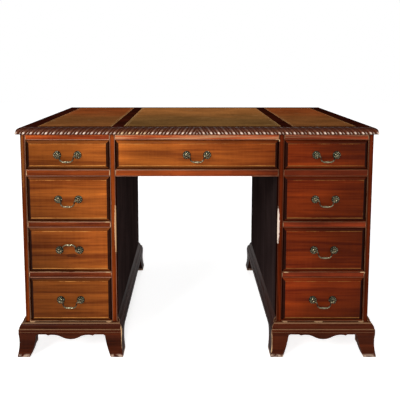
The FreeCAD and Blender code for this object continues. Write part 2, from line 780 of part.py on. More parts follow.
def make_tray(name, opening_half, opening_height, tails):
    """A drawer's two dovetailed sides, back and bottom, as separate boards."""
    half_x = f"({opening_half} - drawer_gap)"
    inner_x = f"({half_x} - side_thickness)"
    floor = f"(run_clearance - {opening_height} / 2)"
    top = f"({opening_height} / 2 - side_headroom)"
    tray_under = f"({floor} + tray_rise)"
    tray_top = f"({tray_under} + tray_thickness)"
    groove_x = f"({inner_x} + tray_groove)"
    side = [
        (half_x, floor),
        (half_x, top),
        (inner_x, top),
        (inner_x, tray_top),
        (groove_x, tray_top),
        (groove_x, tray_under),
        (inner_x, tray_under),
        (inner_x, floor),
    ]
    board = padded(f"{name}SideBoard", "XZ_Plane", side, FRONT_BACK, DRAWER_END)
    right = fuse(f"{name}SideRight", [board, *tails])
    left = reflected(f"{name}SideLeft", right)
    bottom = box(f"{name}Bottom", (minus(groove_x), groove_x), (FRONT_BACK, DRAWER_END),
                 (tray_under, tray_top))
    back_end = f"({DRAWER_END} - back_inset)"
    back = box(f"{name}Back", (minus(inner_x), inner_x), (f"{back_end} - side_thickness", back_end),
               (tray_top, f"{opening_height} / 2 - back_headroom"))
    return [left, right, back, bottom]


def make_handle_set():
    """Two rosettes, two posts and two nuts, about the middle of the drawer's field."""
    ball_start = "(pivot_reach - sqrt(ball_radius ^ 2 - neck_radius ^ 2))"
    collar_end = "(rosette_height + collar_height)"
    tail = "(front_thickness + nut_height + shank_tail)"
    post = turned("Post", [
        ("0", tail),
        ("shank_radius", tail),
        ("shank_radius", "-rosette_height"),
        ("collar_radius", "-rosette_height"),
        ("collar_radius", minus(collar_end)),
        ("neck_radius", f"-{collar_end} - neck_taper"),
        ("neck_radius", minus(ball_start)),
        ("0", "-pivot_reach - ball_radius", "ball_radius", -1),
    ])
    eye = rod("PostEye", "bail_radius + pin_clearance", "2 * (ball_radius + overrun)")
    turn_about(eye, (0, 1, 0), 90)
    place(eye, "-ball_radius - overrun", "-pivot_reach")
    drilled_post = cut("DrilledPost", post, eye)
    bore = "(shank_radius + shank_clearance)"
    rosette = turned("Rosette", [
        (bore, "0"),
        ("rosette_radius", "0"),
        ("rosette_radius", "-rosette_rim"),
        ("rosette_crown", "-rosette_height", "rosette_dome_radius", -1),
        (bore, "-rosette_height"),
    ])
    hexagon = doc.addObject("Part::Prism", "NutHexagon")
    hexagon.Polygon = 6
    bind(hexagon, {"Circumradius": "nut_radius", "Height": "nut_height"})
    nut = cut("Nut", hexagon, rod("NutBore", bore, "nut_height"))
    turn_about(nut, (1, 0, 0), -90)
    place(nut, "0", "front_thickness")
    half = group("HandleHalf", [drilled_post, rosette, nut], POST_PLACE)
    other = group("HandleOther", [drilled_post, rosette, nut], minus(POST_PLACE))
    return [half, other]


def make_bail():
    """A swan-neck bail hanging from its two pins, about their common axis."""
    body = doc.addObject("PartDesign::Body", "Bail")
    pin_end = f"({POST_PLACE} - pin_stop)"
    path = sketch_in(body, "BailPath", "XZ_Plane")
    draw(path, mirrored([
        (pin_end, "0"),
        (f"{LEG_PLACE} + elbow_radius", "0"),
        (LEG_PLACE, "-elbow_radius", "elbow_radius", 1),
        (LEG_PLACE, "bow_radius - bail_drop"),
        (f"{LEG_PLACE} - bow_radius", "-bail_drop", "bow_radius", -1),
        ("0", "-bail_drop"),
    ]), closed=False)
    ring = sketch_in(body, "BailRing", "YZ_Plane", pin_end)
    ring.addGeometry(Part.Circle(FreeCAD.Vector(), FreeCAD.Vector(0, 0, 1), value("bail_radius")), False)
    ring.addConstraint(Sketcher.Constraint("Coincident", 0, 3, -1, 1))
    rule = ring.addConstraint(Sketcher.Constraint("Radius", 0, value("bail_radius")))
    ring.renameConstraint(rule, "thickness")
    bind(ring, {"Constraints.thickness": "bail_radius"})
    bar = body.newObject("PartDesign::AdditivePipe", "BailBar")
    bar.Profile = ring
    bar.Spine = path
    spindle = sketch_in(body, "GripOutline", "XZ_Plane", lift="-bail_drop")
    swell = "(grip_half_length ^ 2 + grip_radius ^ 2) / (2 * grip_radius)"
    draw(spindle, [("grip_half_length", "0"), ("-grip_half_length", "0", swell, 1)])
    grip = body.newObject("PartDesign::Revolution", "BailGrip")
    grip.Profile = spindle
    grip.ReferenceAxis = (spindle, ["H_Axis"])
    return body


def make_drawers():
    """Nine drawers from three patterns, each with its handle; one bail is stored raised."""
    kinds = {
        "Pedestal": (OPENING_HALF, PEDESTAL_OPENING),
        "Frieze": (OPENING_HALF, "frieze_opening"),
        "Centre": (KNEE_HALF, "frieze_opening"),
    }
    fronts = {}
    trays = {}
    for kind, opening in kinds.items():
        tails = make_tails(kind, *opening)
        fronts[kind] = make_front(kind, *opening, tails)
        trays[kind] = make_tray(kind, *opening, tails)
    handle = make_handle_set()
    bail = make_bail()
    frieze_middle = f"({FRIEZE_BOTTOM} + frieze_opening / 2)"
    drawers = [("centre", "Centre", "0", frieze_middle)]
    for hand, x in {"left": minus(PEDESTAL_PLACE), "right": PEDESTAL_PLACE}.items():
        drawers.append((f"{hand}_1", "Frieze", x, frieze_middle))
        for row, bottom in enumerate(ROW_BOTTOMS, start=2):
            drawers.append((f"{hand}_{row}", "Pedestal", x, f"({bottom} + {PEDESTAL_OPENING} / 2)"))
    field_y = f"({FRONT} + {FIELD_FACE})"
    raised = "left_3"
    for name, kind, x, z in drawers:
        node(group(f"Front_{name}", [fronts[kind]], x, FRONT, z), f"drawer_{name}_front")
        node(group(f"Tray_{name}", trays[kind], x, FRONT, z), f"drawer_{name}_box")
        node(group(f"Handle_{name}", handle, x, field_y, z), f"drawer_{name}_handle")
        hung = group(f"Bail_{name}", [bail])
        if name == raised:
            turn_about(hung, (1, 0, 0), 180)
            # Raised past upright until the grip nearly meets the drawer's field
            lean = "asin((pivot_reach - grip_radius - lean_gap) / bail_drop)"
            bind(hung, {"Placement.Rotation.Angle": f"180 deg - {lean}"})
        place(hung, x, f"{field_y} - pivot_reach", z)
        node(hung, f"drawer_{name}_bail")


def write_parts():
    """Stop on any failed object, then write each sub-part to its own file."""
    doc.recompute()
    for thing in doc.Objects:
        if "Invalid" in thing.State or "Error" in thing.State:
            raise RuntimeError(f"{thing.Label} failed: {thing.State}")
    for part in nodes:
        if part.Shape.isNull() or not part.Shape.isValid():
            raise RuntimeError(f"{part.Label} has no valid shape")
    os.makedirs("parts", exist_ok=True)
    for part in nodes:
        part.Shape.exportStep(f"parts/{part.Label}.step")
        box_size = part.Shape.BoundBox
        print(f"{part.Label}: {len(part.Shape.Solids)} solids, {part.Shape.Volume / 1000:.1f} cm3, "
              f"{box_size.XLength:.1f} x {box_size.YLength:.1f} x {box_size.ZLength:.1f}")


make_top()
make_stiles()
make_panels()
make_rails()
make_beads()
make_running_gear()
make_plinths()
make_drawers()
write_parts()
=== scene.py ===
"""Pedestal desk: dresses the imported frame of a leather-topped mahogany desk with its finished pieces."""

import json
import math

import bmesh
import bpy
import numpy as np
from bpy.props import FloatProperty, FloatVectorProperty, IntProperty, PointerProperty
from mathutils import Matrix, Vector

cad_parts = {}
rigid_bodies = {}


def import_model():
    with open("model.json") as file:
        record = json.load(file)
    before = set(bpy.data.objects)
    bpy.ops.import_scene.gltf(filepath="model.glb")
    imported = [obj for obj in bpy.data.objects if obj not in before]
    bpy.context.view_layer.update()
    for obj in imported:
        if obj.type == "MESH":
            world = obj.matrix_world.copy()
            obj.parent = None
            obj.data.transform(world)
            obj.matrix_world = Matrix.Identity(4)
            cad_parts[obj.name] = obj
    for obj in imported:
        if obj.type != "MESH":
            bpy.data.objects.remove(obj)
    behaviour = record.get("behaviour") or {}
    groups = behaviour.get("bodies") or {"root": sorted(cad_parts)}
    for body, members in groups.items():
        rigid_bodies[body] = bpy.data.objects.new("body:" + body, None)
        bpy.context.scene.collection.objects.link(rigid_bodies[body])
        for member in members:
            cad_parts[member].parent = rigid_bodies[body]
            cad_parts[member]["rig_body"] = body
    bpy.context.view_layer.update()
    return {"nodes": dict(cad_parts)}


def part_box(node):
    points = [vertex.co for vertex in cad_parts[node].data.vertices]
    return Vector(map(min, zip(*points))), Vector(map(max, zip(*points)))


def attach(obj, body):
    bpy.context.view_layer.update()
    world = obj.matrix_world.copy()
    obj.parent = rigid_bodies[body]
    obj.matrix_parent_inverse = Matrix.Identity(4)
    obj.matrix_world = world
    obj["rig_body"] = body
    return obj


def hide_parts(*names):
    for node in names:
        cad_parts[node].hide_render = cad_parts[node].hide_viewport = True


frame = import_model()

bl_info = {
    "name": "Pedestal desk",
    "version": (1, 0, 0),
    "blender": (4, 5, 0),
    "location": "View3D > Sidebar > Desk",
    "description": "Builds the finished pieces of a mahogany pedestal desk around its frame",
    "category": "Object",
}

DRAWERS = ["centre"] + [f"{hand}_{row}" for hand in ("left", "right") for row in range(1, 5)]


# Properties

def srgb(red, green, blue):
    """Scene-linear colour of a screen colour given from 0 to 255."""
    shares = [part / 255 for part in (red, green, blue)]
    return tuple(part / 12.92 if part <= 0.04045 else ((part + 0.055) / 1.055) ** 2.4 for part in shares)


def colour(name, description, *screen):
    return FloatVectorProperty(name=name, description=description, default=srgb(*screen), size=3,
                               min=0, max=1, subtype="COLOR")


def length(name, description, default):
    return FloatProperty(name=name, description=description, default=default, precision=4, unit="LENGTH")


def share(name, description, default):
    return FloatProperty(name=name, description=description, default=default, min=0, max=1, subtype="FACTOR")


def count(name, description, default):
    return IntProperty(name=name, description=description, default=default, min=3)


def angle(name, description, degrees):
    return FloatProperty(name=name, description=description, default=math.radians(degrees), subtype="ANGLE")


def power(name, description, watts):
    return FloatProperty(name=name, description=description, default=watts, min=0, unit="POWER")


class DeskColours(bpy.types.PropertyGroup):
    """Colours of the desk's woods, leather and metal"""
    # The left colours of carcass and drawers are paler partly in the wood's own tone and partly as painted
    # light from the key lamp on the left.
    frame_light: colour("Carcass, light", "Light figure of the carcass on the faded left side", 142, 63, 22)
    frame_dark: colour("Carcass, dark", "Dark figure of the carcass on the faded left side", 84, 29, 9)
    frame_light_right: colour("Carcass, light, right", "Light figure on the right side", 98, 35, 13)
    frame_dark_right: colour("Carcass, dark, right", "Dark figure on the right side", 57, 17, 5)
    drawer_light: colour("Drawer, light", "Light figure of the left drawer fronts", 168, 90, 31)
    drawer_dark: colour("Drawer, dark", "Dark figure of the left drawer fronts", 96, 40, 11)
    drawer_light_right: colour("Drawer, light, right", "Light figure of the right drawer fronts", 124, 46, 10)
    drawer_dark_right: colour("Drawer, dark, right", "Dark figure of the right drawer fronts", 75, 20, 4)
    plinth_light: colour("Plinth, light", "Light figure of the plinth wood", 89, 36, 14)
    plinth_dark: colour("Plinth, dark", "Dark figure of the plinth wood", 42, 12, 3)
    plinth_worn: colour("Plinth, worn", "Thinned polish on the edges of the plinth", 186, 144, 106)
    # The bead colours are pale partly from rubbing and partly as a painted highlight along each bead.
    bead_light: colour("Bead, light", "Rubbed crest of the beads", 216, 156, 126)
    bead_dark: colour("Bead, dark", "Polish left on the beads", 164, 96, 70)
    bead_light_right: colour("Bead, light, right", "Rubbed crest of the beads on the right", 172, 102, 72)
    bead_dark_right: colour("Bead, dark, right", "Polish left on the beads on the right", 112, 52, 33)
    # Kneehole colours: a dark stain, made darker as painted shade of the kneehole.
    stain_light: colour("Kneehole stain, light", "Light figure of the stained kneehole sides", 68, 53, 51)
    stain_dark: colour("Kneehole stain, dark", "Dark figure of the stained kneehole sides", 46, 35, 34)
    band_light: colour("Crossband, light", "Light figure of the crossbanding", 60, 21, 11)
    band_dark: colour("Crossband, dark", "Dark figure of the crossbanding", 30, 9, 5)
    carved_light: colour("Carving, light", "Crest of the carved edge", 104, 62, 32)
    # Dark of the carving's hollows: old polish there, and painted shade.
    carved_dark: colour("Carving, dark", "Old polish in the hollows of the carved edge", 30, 10, 6)
    # Gold tints the painted highlights on the lobes in one patch.
    carved_gold: colour("Carving, gold", "Bare specks and patches on the carved edge", 255, 224, 178)
    worn: colour("Worn edge", "Bare wood where the polish has rubbed off", 204, 164, 122)
    # The painted highlight on the nose of each lobe, also used on the right kneehole stile.
    carved_highlight: colour("Carving, rubbed", "Nose of each lobe, rubbed pale", 250, 226, 206)
    scuffed: colour("Scuffed toe", "Bare, greyed wood at the bottom of the feet", 186, 158, 138)
    rubbed: colour("Rubbed edge", "Thinned polish on the edges of the drawer fields", 206, 138, 68)
    # Grime darkens the leather's creases. Elsewhere it is the colour of painted shade, and of a painted
    # shadow under a raised bail.
    grime_and_shade: colour("Grime", "Old polish and dust in the mouldings", 26, 7, 4)
    leather_back: colour("Leather, back", "Leather towards the back of the top", 162, 103, 53)
    leather_front: colour("Leather, front", "Leather towards the sitter", 114, 80, 43)
    leather_side: colour("Leather, side panels", "Redder leather of the two side panels", 140, 70, 32)
    tooling: colour("Tooled line", "Rubbed line tooled round each panel", 186, 158, 112)
    brass: colour("Brass", "Rubbed brass of the bails", 146, 137, 108)
    patina: colour("Patina", "Dark patina on the brass", 25, 26, 22)
    verdigris: colour("Verdigris", "Green bloom in the hollows of the rosettes", 92, 118, 98)
    lining_light: colour("Lining, light", "Light figure of the drawer boxes", 196, 158, 112)
    lining_dark: colour("Lining, dark", "Dark figure of the drawer boxes", 158, 116, 74)
    inner_light: colour("Inner wood, light", "Light figure of the hidden strips and boards", 168, 126, 88)
    inner_dark: colour("Inner wood, dark", "Dark figure of the hidden strips and boards", 126, 86, 56)
    steel: colour("Steel", "Screws that hold the top", 120, 118, 114)
    floor: colour("Floor", "Pale studio floor", 236, 236, 236)


class DeskSizes(bpy.types.PropertyGroup):
    """Sizes of the finished details"""
    rounding: length("Rounding", "Radius worn on the edges of boards", 0.0007)
    foot_rounding: length("Foot rounding", "Radius worn on the edges of the plinth", 0.0014)
    wear_reach: length("Wear reach", "How far edge wear spreads on to a face", 0.004)
    long_lobes: FloatProperty(name="Long lobes", description="Lobes on half of a long edge", default=24.0)
    short_lobes: FloatProperty(name="Short lobes", description="Lobes on half of a short edge", default=11.5)
    lobe_depth: length("Lobe depth", "Depth of the hollows between lobes", 0.0042)
    lobe_lean: share("Lobe lean", "Lobes that a hollow crosses on its way up", 0.72)
    lobe_start: share("Lobe start", "Share of the pitch by which the pattern moves towards the middle", 0.32)
    lobe_width: share("Lobe width", "Share of the pitch that the wide lobe takes", 0.62)
    lobe_columns: count("Lobe columns", "Mesh columns in each lobe and reed", 18)
    lobe_rows: count("Lobe rows", "Mesh rows round the carved face", 17)
    petals: count("Petals", "Petals on each rosette", 10)
    leather_crown: length("Leather crown", "How far a panel swells above its edges", 0.0002)


class DeskStage(bpy.types.PropertyGroup):
    """Camera and lamps"""
    eye: FloatVectorProperty(name="Eye", description="Place of the camera", size=3,
                             default=(-0.0212, -1.5844, 1.0096), subtype="TRANSLATION", unit="LENGTH")
    pitch: angle("Pitch", "How far the camera looks down", 4.4708)
    lens: FloatProperty(name="Lens", description="Focal length in millimetres", default=35.768)
    rise: FloatProperty(name="Rise", description="Vertical shift of the frame", default=-0.27)
    slide: FloatProperty(name="Slide", description="Sideways shift of the frame", default=0.0236)
    key: power("Key lamp", "Softbox at the upper left in front", 55)
    flash: power("Flash", "Small lamp beside the camera", 9)
    fill: power("Fill lamp", "Broad softbox in front on the right", 20)
    overhead: power("Overhead lamp", "Broad softbox over the desk", 16)
    rear: power("Rear lamp", "Softbox behind the desk", 22)
    ambient: share("Ambient", "Light from all round the studio", 0.22)


# Node helpers

class Term:
    """A node's output; the usual signs between terms add math nodes."""

    def __init__(self, net, socket):
        self.net = net
        self.socket = socket

    def __add__(self, other):
        return self.net.math("ADD", self, other)

    def __sub__(self, other):
        return self.net.math("SUBTRACT", self, other)

    def __rsub__(self, other):
        return self.net.math("SUBTRACT", other, self)

    def __mul__(self, other):
        return self.net.math("MULTIPLY", self, other)

    def __truediv__(self, other):
        return self.net.math("DIVIDE", self, other)

    def __gt__(self, other):
        return self.net.math("GREATER_THAN", self, other)

    def __abs__(self):
        return self.net.math("ABSOLUTE", self)

    __radd__ = __add__
    __rmul__ = __mul__


class Net:
    """A node tree that grows by calls, so that a pattern reads as a formula."""

    def __init__(self, tree):
        self.tree = tree

    def fill(self, socket, value):
        """Links a socket to a term, or sets its own value."""
        if isinstance(value, Term):
            self.tree.links.new(value.socket, socket)
        elif socket.type == "RGBA":
            socket.default_value = (*value, 1)[:4]
        else:
            socket.default_value = value

    def add(self, kind, inputs=None, **settings):
        made = self.tree.nodes.new(kind)
        for name, value in settings.items():
            setattr(made, name, value)
        for name, value in (inputs or {}).items():
            self.fill(made.inputs[name], value)
        return made

    def node(self, kind, inputs=None, output=0, **settings):
        return Term(self, self.add(kind, inputs, **settings).outputs[output])

    def group(self, name, inputs):
        """The outputs of a shared shader group, by name."""
        made = self.add("ShaderNodeGroup", inputs, node_tree=bpy.data.node_groups[name])
        return {socket.name: Term(self, socket) for socket in made.outputs}

    def math(self, operation, *values):
        return self.node("ShaderNodeMath", dict(enumerate(values)), operation=operation)

    def vector_math(self, operation, *values, output=0):
        return self.node("ShaderNodeVectorMath", dict(enumerate(values)), output, operation=operation)

    def stretch(self, vector, *scales):
        return self.vector_math("MULTIPLY", vector, scales)

    def noise(self, vector, scale=1.0, detail=2.0, roughness=0.5, distortion=0.0):
        inputs = {"Vector": vector, "Scale": scale, "Detail": detail, "Roughness": roughness,
                  "Distortion": distortion}
        return self.node("ShaderNodeTexNoise", inputs)

    def ramp(self, value, low, high, start=0.0, end=1.0):
        """value runs smoothly from start at low to end at high."""
        inputs = {"Value": value, "From Min": low, "From Max": high, "To Min": start, "To Max": end}
        return self.node("ShaderNodeMapRange", inputs, interpolation_type="SMOOTHSTEP")

    def mix(self, factor, first, second, blend="MIX"):
        inputs = {0: factor, 6: first, 7: second}
        return self.node("ShaderNodeMix", inputs, 2, data_type="RGBA", blend_type=blend)

    def lit(self, tint, level):
        """A colour times a level."""
        return self.mix(1.0, tint, self.vector(level, level, level), "MULTIPLY")

    def attribute(self, name, output="Vector"):
        return self.node("ShaderNodeAttribute", output=output, attribute_name=name)

    def parts(self, vector):
        return [Term(self, socket) for socket in self.add("ShaderNodeSeparateXYZ", {0: vector}).outputs]

    def vector(self, *values):
        return self.node("ShaderNodeCombineXYZ", dict(enumerate(values)))

    def switch(self, condition, when_false, when_true):
        inputs = {"Switch": condition, "False": when_false, "True": when_true}
        return self.node("GeometryNodeSwitch", inputs, input_type="FLOAT")

    def store(self, mesh, name, value, kind="FLOAT"):
        """Keeps a value under a name on the points of a mesh."""
        return self.node("GeometryNodeStoreNamedAttribute", {"Geometry": mesh, "Name": name, "Value": value},
                         data_type=kind)

    def join(self, *meshes):
        made = self.add("GeometryNodeJoinGeometry")
        for mesh in meshes:
            self.fill(made.inputs[0], mesh)
        return Term(self, made.outputs[0])

    def coat(self, mesh, material):
        """Realizes a mesh's instances and gives it its material."""
        real = self.node("GeometryNodeRealizeInstances", {"Geometry": mesh})
        return self.node("GeometryNodeSetMaterial", {"Geometry": real, "Material": material})


def new_group(name, kind, inputs, outputs):
    """A node group with named sockets: its net, its inputs as terms and its output sockets."""
    tree = bpy.data.node_groups.new(name, kind)
    for in_out, sockets in (("INPUT", inputs), ("OUTPUT", outputs)):
        for label, socket in sockets.items():
            tree.interface.new_socket(label, in_out=in_out, socket_type="NodeSocket" + socket)
    net = Net(tree)
    entry = net.add("NodeGroupInput")
    leave = net.add("NodeGroupOutput")
    return net, {label: Term(net, entry.outputs[label]) for label in inputs}, leave.inputs


# Finishes

FIGURE = (1.8, 36, 36)
STREAK = (5, 150, 150)
RIPPLE = (130, 8, 8)
PORE = (70, 1300, 1300)
BLEACH = (5, 190, 190)
BAND_SHARE, LINE_SHARE, RIPPLE_SHARE = 0.60, 0.26, 0.18
BLEACHED = (7, 11)
DIMMED = 0.45
TOE = (0.015, 0.008)


def wood_grain_group():
    """Ribbon figure, streaks, ripple and pores along a board."""
    net, given, put = new_group("Wood grain", "ShaderNodeTree",
                                {"Grain": "Vector", "Light": "Color", "Dark": "Color", "Figure": "Float"},
                                {"Color": "Color", "Height": "Float"})
    grain = given["Grain"]
    figure = net.noise(net.stretch(grain, *FIGURE), detail=4, roughness=0.55, distortion=0.5)
    streak = net.noise(net.stretch(grain, *STREAK), detail=3, roughness=0.6)
    ripple = net.noise(net.stretch(grain, *RIPPLE), detail=2)
    pore = net.noise(net.stretch(grain, *PORE), detail=1)
    line = net.ramp(streak, 0.34, 0.66)
    shade = net.ramp(figure, 0.30, 0.70) * BAND_SHARE + line * LINE_SHARE + ripple * RIPPLE_SHARE
    shade = (shade - 0.5) * given["Figure"] + 0.5
    pits = net.ramp(pore, 0.60, 0.72, 0.0, 0.45)
    net.fill(put["Color"], net.mix(pits, net.mix(shade, given["Dark"], given["Light"]), given["Dark"]))
    net.fill(put["Height"], line * 0.25 - pits)


def edge_wear_group():
    """Ragged rubbing along the edges that carry the wear attribute."""
    net, given, put = new_group("Edge wear", "ShaderNodeTree",
                                {"Wear": "Float", "Place": "Vector", "Amount": "Float"}, {"Mask": "Float"})
    broad = net.noise(given["Place"], 26, 3) - 0.5
    ragged = net.noise(given["Place"], 210, 3, 0.6) - 0.5
    level = given["Wear"] * given["Amount"] + broad * 1.1 + ragged * 0.5
    net.fill(put["Mask"], net.ramp(level, 0.42, 0.72) * net.ramp(given["Wear"], 0.02, 0.12))


def worn_spot_group():
    """A ragged bare spot round a point, with a reach along each axis."""
    net, given, put = new_group("Worn spot", "ShaderNodeTree",
                                {"Place": "Vector", "Centre": "Vector", "Reach": "Vector"}, {"Mask": "Float"})
    away = net.vector_math("SUBTRACT", given["Place"], given["Centre"])
    far = net.vector_math("LENGTH", net.vector_math("DIVIDE", away, given["Reach"]), output="Value")
    ragged = net.noise(given["Place"], 160, 3, 0.6) - 0.5
    net.fill(put["Mask"], net.ramp(far + ragged, 1.0, 0.75))


def new_material(name):
    """A material's net, its Principled shader's inputs and the object's own coordinates."""
    made = bpy.data.materials.new(name)
    made.use_nodes = True
    net = Net(made.node_tree)
    shader = made.node_tree.nodes["Principled BSDF"]
    return net, shader.inputs, net.node("ShaderNodeTexCoord", output="Object")


def bump(net, shader, height, depth, strength=0.6):
    inputs = {"Height": height, "Distance": depth, "Strength": strength}
    net.fill(shader["Normal"], net.node("ShaderNodeBump", inputs))


def wood(name, left, right=None, wear=0.5, figure=1.0, gloss=0.32, specular=0.06, bare="worn", dimmed=DIMMED,
         grime_and_shade=0.0, toes=False, spots=()):
    """Old polished wood: left and right are (light, dark) on the left side, paler partly in its own tone and
    partly from painted light, and on the other.
    """
    colours = bpy.context.scene.desk_colours
    right = right or left
    net, shader, place = new_material(name)
    side, chance, painted_shade = net.parts(net.attribute("tone"))
    along_board = net.attribute("grain")
    grain = net.group("Wood grain", {"Grain": along_board, "Light": net.mix(side, right[0], left[0]),
                                     "Dark": net.mix(side, right[1], left[1]), "Figure": figure})
    blotch = net.ramp(net.noise(place, 5, 3), 0.35, 0.7)
    tinted = net.lit(grain["Color"], (chance * 0.28 + 0.86) * (blotch * 0.36 + 0.82))
    rubbing = {"Wear": net.attribute("wear", "Fac"), "Place": place, "Amount": wear}
    mask = net.group("Edge wear", rubbing)["Mask"]
    streaky = net.ramp(net.noise(net.stretch(along_board, *BLEACH)), 0.35, 0.65, 0.1, 1.9)
    tinted = net.mix(net.ramp(chance, *BLEACHED, 0.0, 0.36) * streaky, tinted, colours.worn)
    if toes:
        patchy = net.ramp(net.noise(place, 75, 4, 0.65), 0.36, 0.54)
        tinted = net.mix(net.ramp(net.parts(place)[2], *TOE) * patchy, tinted, colours.scuffed)
    # Painted shade from the tone's third part: drawer borders, the sides of beads and stile faces towards the
    # kneehole.
    if grime_and_shade:
        tinted = net.mix(painted_shade * grime_and_shade, tinted, colours.grime_and_shade)
    for centre, reach, strength, shown in spots:
        spot = net.group("Worn spot", {"Place": place, "Centre": centre, "Reach": reach})["Mask"]
        tinted = net.mix(spot * strength, tinted, getattr(colours, shown))
    pale = getattr(colours, bare)
    bared = net.mix(side, [part * dimmed for part in pale], pale)
    net.fill(shader["Base Color"], net.mix(mask, tinted, bared))
    net.fill(shader["Roughness"], gloss + blotch * 0.10 + mask * 0.25)
    shader["Specular IOR Level"].default_value = specular
    bump(net, shader, grain["Height"] - mask, 0.0002)


SIDE_PANELS = (0.27, 0.30)


def leather():
    """Waxed hide, olive towards the sitter, with rubbed tooling."""
    colours = bpy.context.scene.desk_colours
    net, shader, place = new_material("waxed_hide")
    x, y, _ = net.parts(place)
    patches = net.noise(net.stretch(place, 2.2, 5, 1), detail=4, distortion=0.6)
    fade = net.ramp(y + patches * 0.30, 0.0, 0.32)
    centre = net.mix(fade, colours.leather_front, colours.leather_back)
    ends = net.mix(net.ramp(fade, 0, 1, 0.35, 1.0), colours.leather_front, colours.leather_side)
    base = net.mix(net.ramp(abs(x), *SIDE_PANELS), centre, ends)
    clouds = net.noise(net.stretch(place, 7, 16, 1), detail=5, roughness=0.6)
    base = net.lit(base, net.ramp(clouds, 0.3, 0.7, 0.78, 1.2))
    cells = net.node("ShaderNodeTexVoronoi", {"Vector": place, "Scale": 650.0}, "Distance")
    creases = net.noise(place, 90, 4, 0.6)
    scuffs = net.ramp(net.noise(net.stretch(place, 14, 60, 1), detail=4), 0.62, 0.80, 0.0, 0.35)
    base = net.mix(net.ramp(creases, 0.35, 0.75, 0.0, 0.25), base, colours.grime_and_shade)
    base = net.mix(scuffs, base, colours.tooling)
    gilt = net.attribute("wear", "Fac") * net.ramp(net.noise(place, 60, 3), 0.30, 0.60, 0.25, 1.0)
    net.fill(shader["Base Color"], net.mix(gilt, base, colours.tooling))
    net.fill(shader["Roughness"], net.ramp(creases, 0.3, 0.8, 0.50, 0.66))
    shader["Specular IOR Level"].default_value = 0.0
    bump(net, shader, cells + creases, 0.00015, 0.5)


def brass(name, rubbed, bloom):
    """Aged brass: dark patina, green bloom and rubbed crests."""
    colours = bpy.context.scene.desk_colours
    net, shader, place = new_material(name)
    crest = net.attribute("wear", "Fac")
    blotch = net.noise(place, 150, 4, 0.6)
    speck = net.noise(place, 900, 3, 0.6)
    polish = net.ramp(crest + blotch * 0.9, 0.75 - rubbed, 1.35 - rubbed)
    metal = net.mix(polish, colours.patina, colours.brass)
    green = net.ramp(blotch - crest * 0.3, 0.46, 0.62) * bloom * net.ramp(speck, 0.35, 0.65, 0.4, 1.0)
    net.fill(shader["Base Color"], net.mix(green, metal, colours.verdigris))
    net.fill(shader["Metallic"], net.ramp(green, 0.2, 0.8, 0.9, 0.1))
    net.fill(shader["Roughness"], net.ramp(polish, 0, 1, 0.55, 0.22) + green * 0.3)
    bump(net, shader, speck + blotch, 0.0001, 0.4)


def steel():
    """Dull screw steel with a brushed, slightly rusted face."""
    colours = bpy.context.scene.desk_colours
    net, shader, place = new_material("screw_metal")
    rust = net.ramp(net.noise(place, 400, 4), 0.5, 0.75)
    net.fill(shader["Base Color"], net.mix(rust, colours.steel, colours.frame_dark))
    net.fill(shader["Metallic"], net.ramp(rust, 0, 1, 1.0, 0.2))
    net.fill(shader["Roughness"], net.ramp(rust, 0, 1, 0.4, 0.8))
    bump(net, shader, rust, 0.0001)


# The patch where the painted highlights on the lobes turn golden.
GOLD_PATCH = {"Centre": (-0.215, -0.293, 0.772), "Reach": (0.060, 0.02, 0.02)}
# Heights below which the edge is painted dark as shade under it, and above which it darkens towards its top.
UNDERSIDE = (0.7712, 0.7690)
UPPER = (0.7760, 0.7890)


def carved_wood():
    """The carved edge: old polish and painted shade in the hollows, painted shade under it and darker towards
    its top, and a painted highlight on each lobe, golden in one patch.
    """
    colours = bpy.context.scene.desk_colours
    net, shader, place = new_material("carved_polish")
    grain = net.group("Wood grain", {"Grain": net.attribute("grain"), "Light": colours.carved_light,
                                     "Dark": colours.plinth_light, "Figure": 0.9})
    # Darker in the hollows: old polish, and painted shade to deepen the carving.
    hollow = net.ramp(net.attribute("carve", "Fac"), 0.12, 0.85, 0.0, 0.9)
    specks = net.ramp(net.noise(place, 230, 3, 0.65), 0.36, 0.62)
    height = net.parts(place)[2]
    dark = net.math("MAXIMUM", net.ramp(height, *UNDERSIDE), net.ramp(height, *UPPER, 0.0, 0.75))
    base = net.mix(specks, colours.plinth_light, grain["Color"])
    base = net.mix(net.math("MAXIMUM", hollow, dark), base, colours.carved_dark)
    patch = net.group("Worn spot", {"Place": place, **GOLD_PATCH})["Mask"]
    # Pale nose of each lobe: a painted highlight, golden in the patch.
    bare = net.mix(patch, colours.carved_highlight, colours.carved_gold)
    rub = net.attribute("rub", "Fac") * net.ramp(net.noise(place, 60, 2), 0.3, 0.6, 0.55, 1.0)
    net.fill(shader["Base Color"], net.mix(rub, base, bare))
    net.fill(shader["Roughness"], net.ramp(hollow, 0, 1, 0.26, 0.5))
    shader["Specular IOR Level"].default_value = 0.05
    bump(net, shader, grain["Height"], 0.0001)


CHIP = (0.010, 0.006, 0.005)
FOOT_CHIP = (0.004, 0.004, 0.045)
# Pale strips down the two kneehole stiles and the outer left stile: worn edges, and in part a painted
# highlight on their rounded corners.
STILE_WEAR_AND_SHEEN = [((0.2740, -0.2825, 0.455), (0.0055, 0.006, 0.065), 1.0, "carved_highlight"),
               ((-0.2740, -0.2825, 0.445), (0.0048, 0.006, 0.095), 1.0, "worn"),
               ((-0.581, -0.284, 0.69), (0.005, 0.012, 0.13), 0.18, "rubbed")]
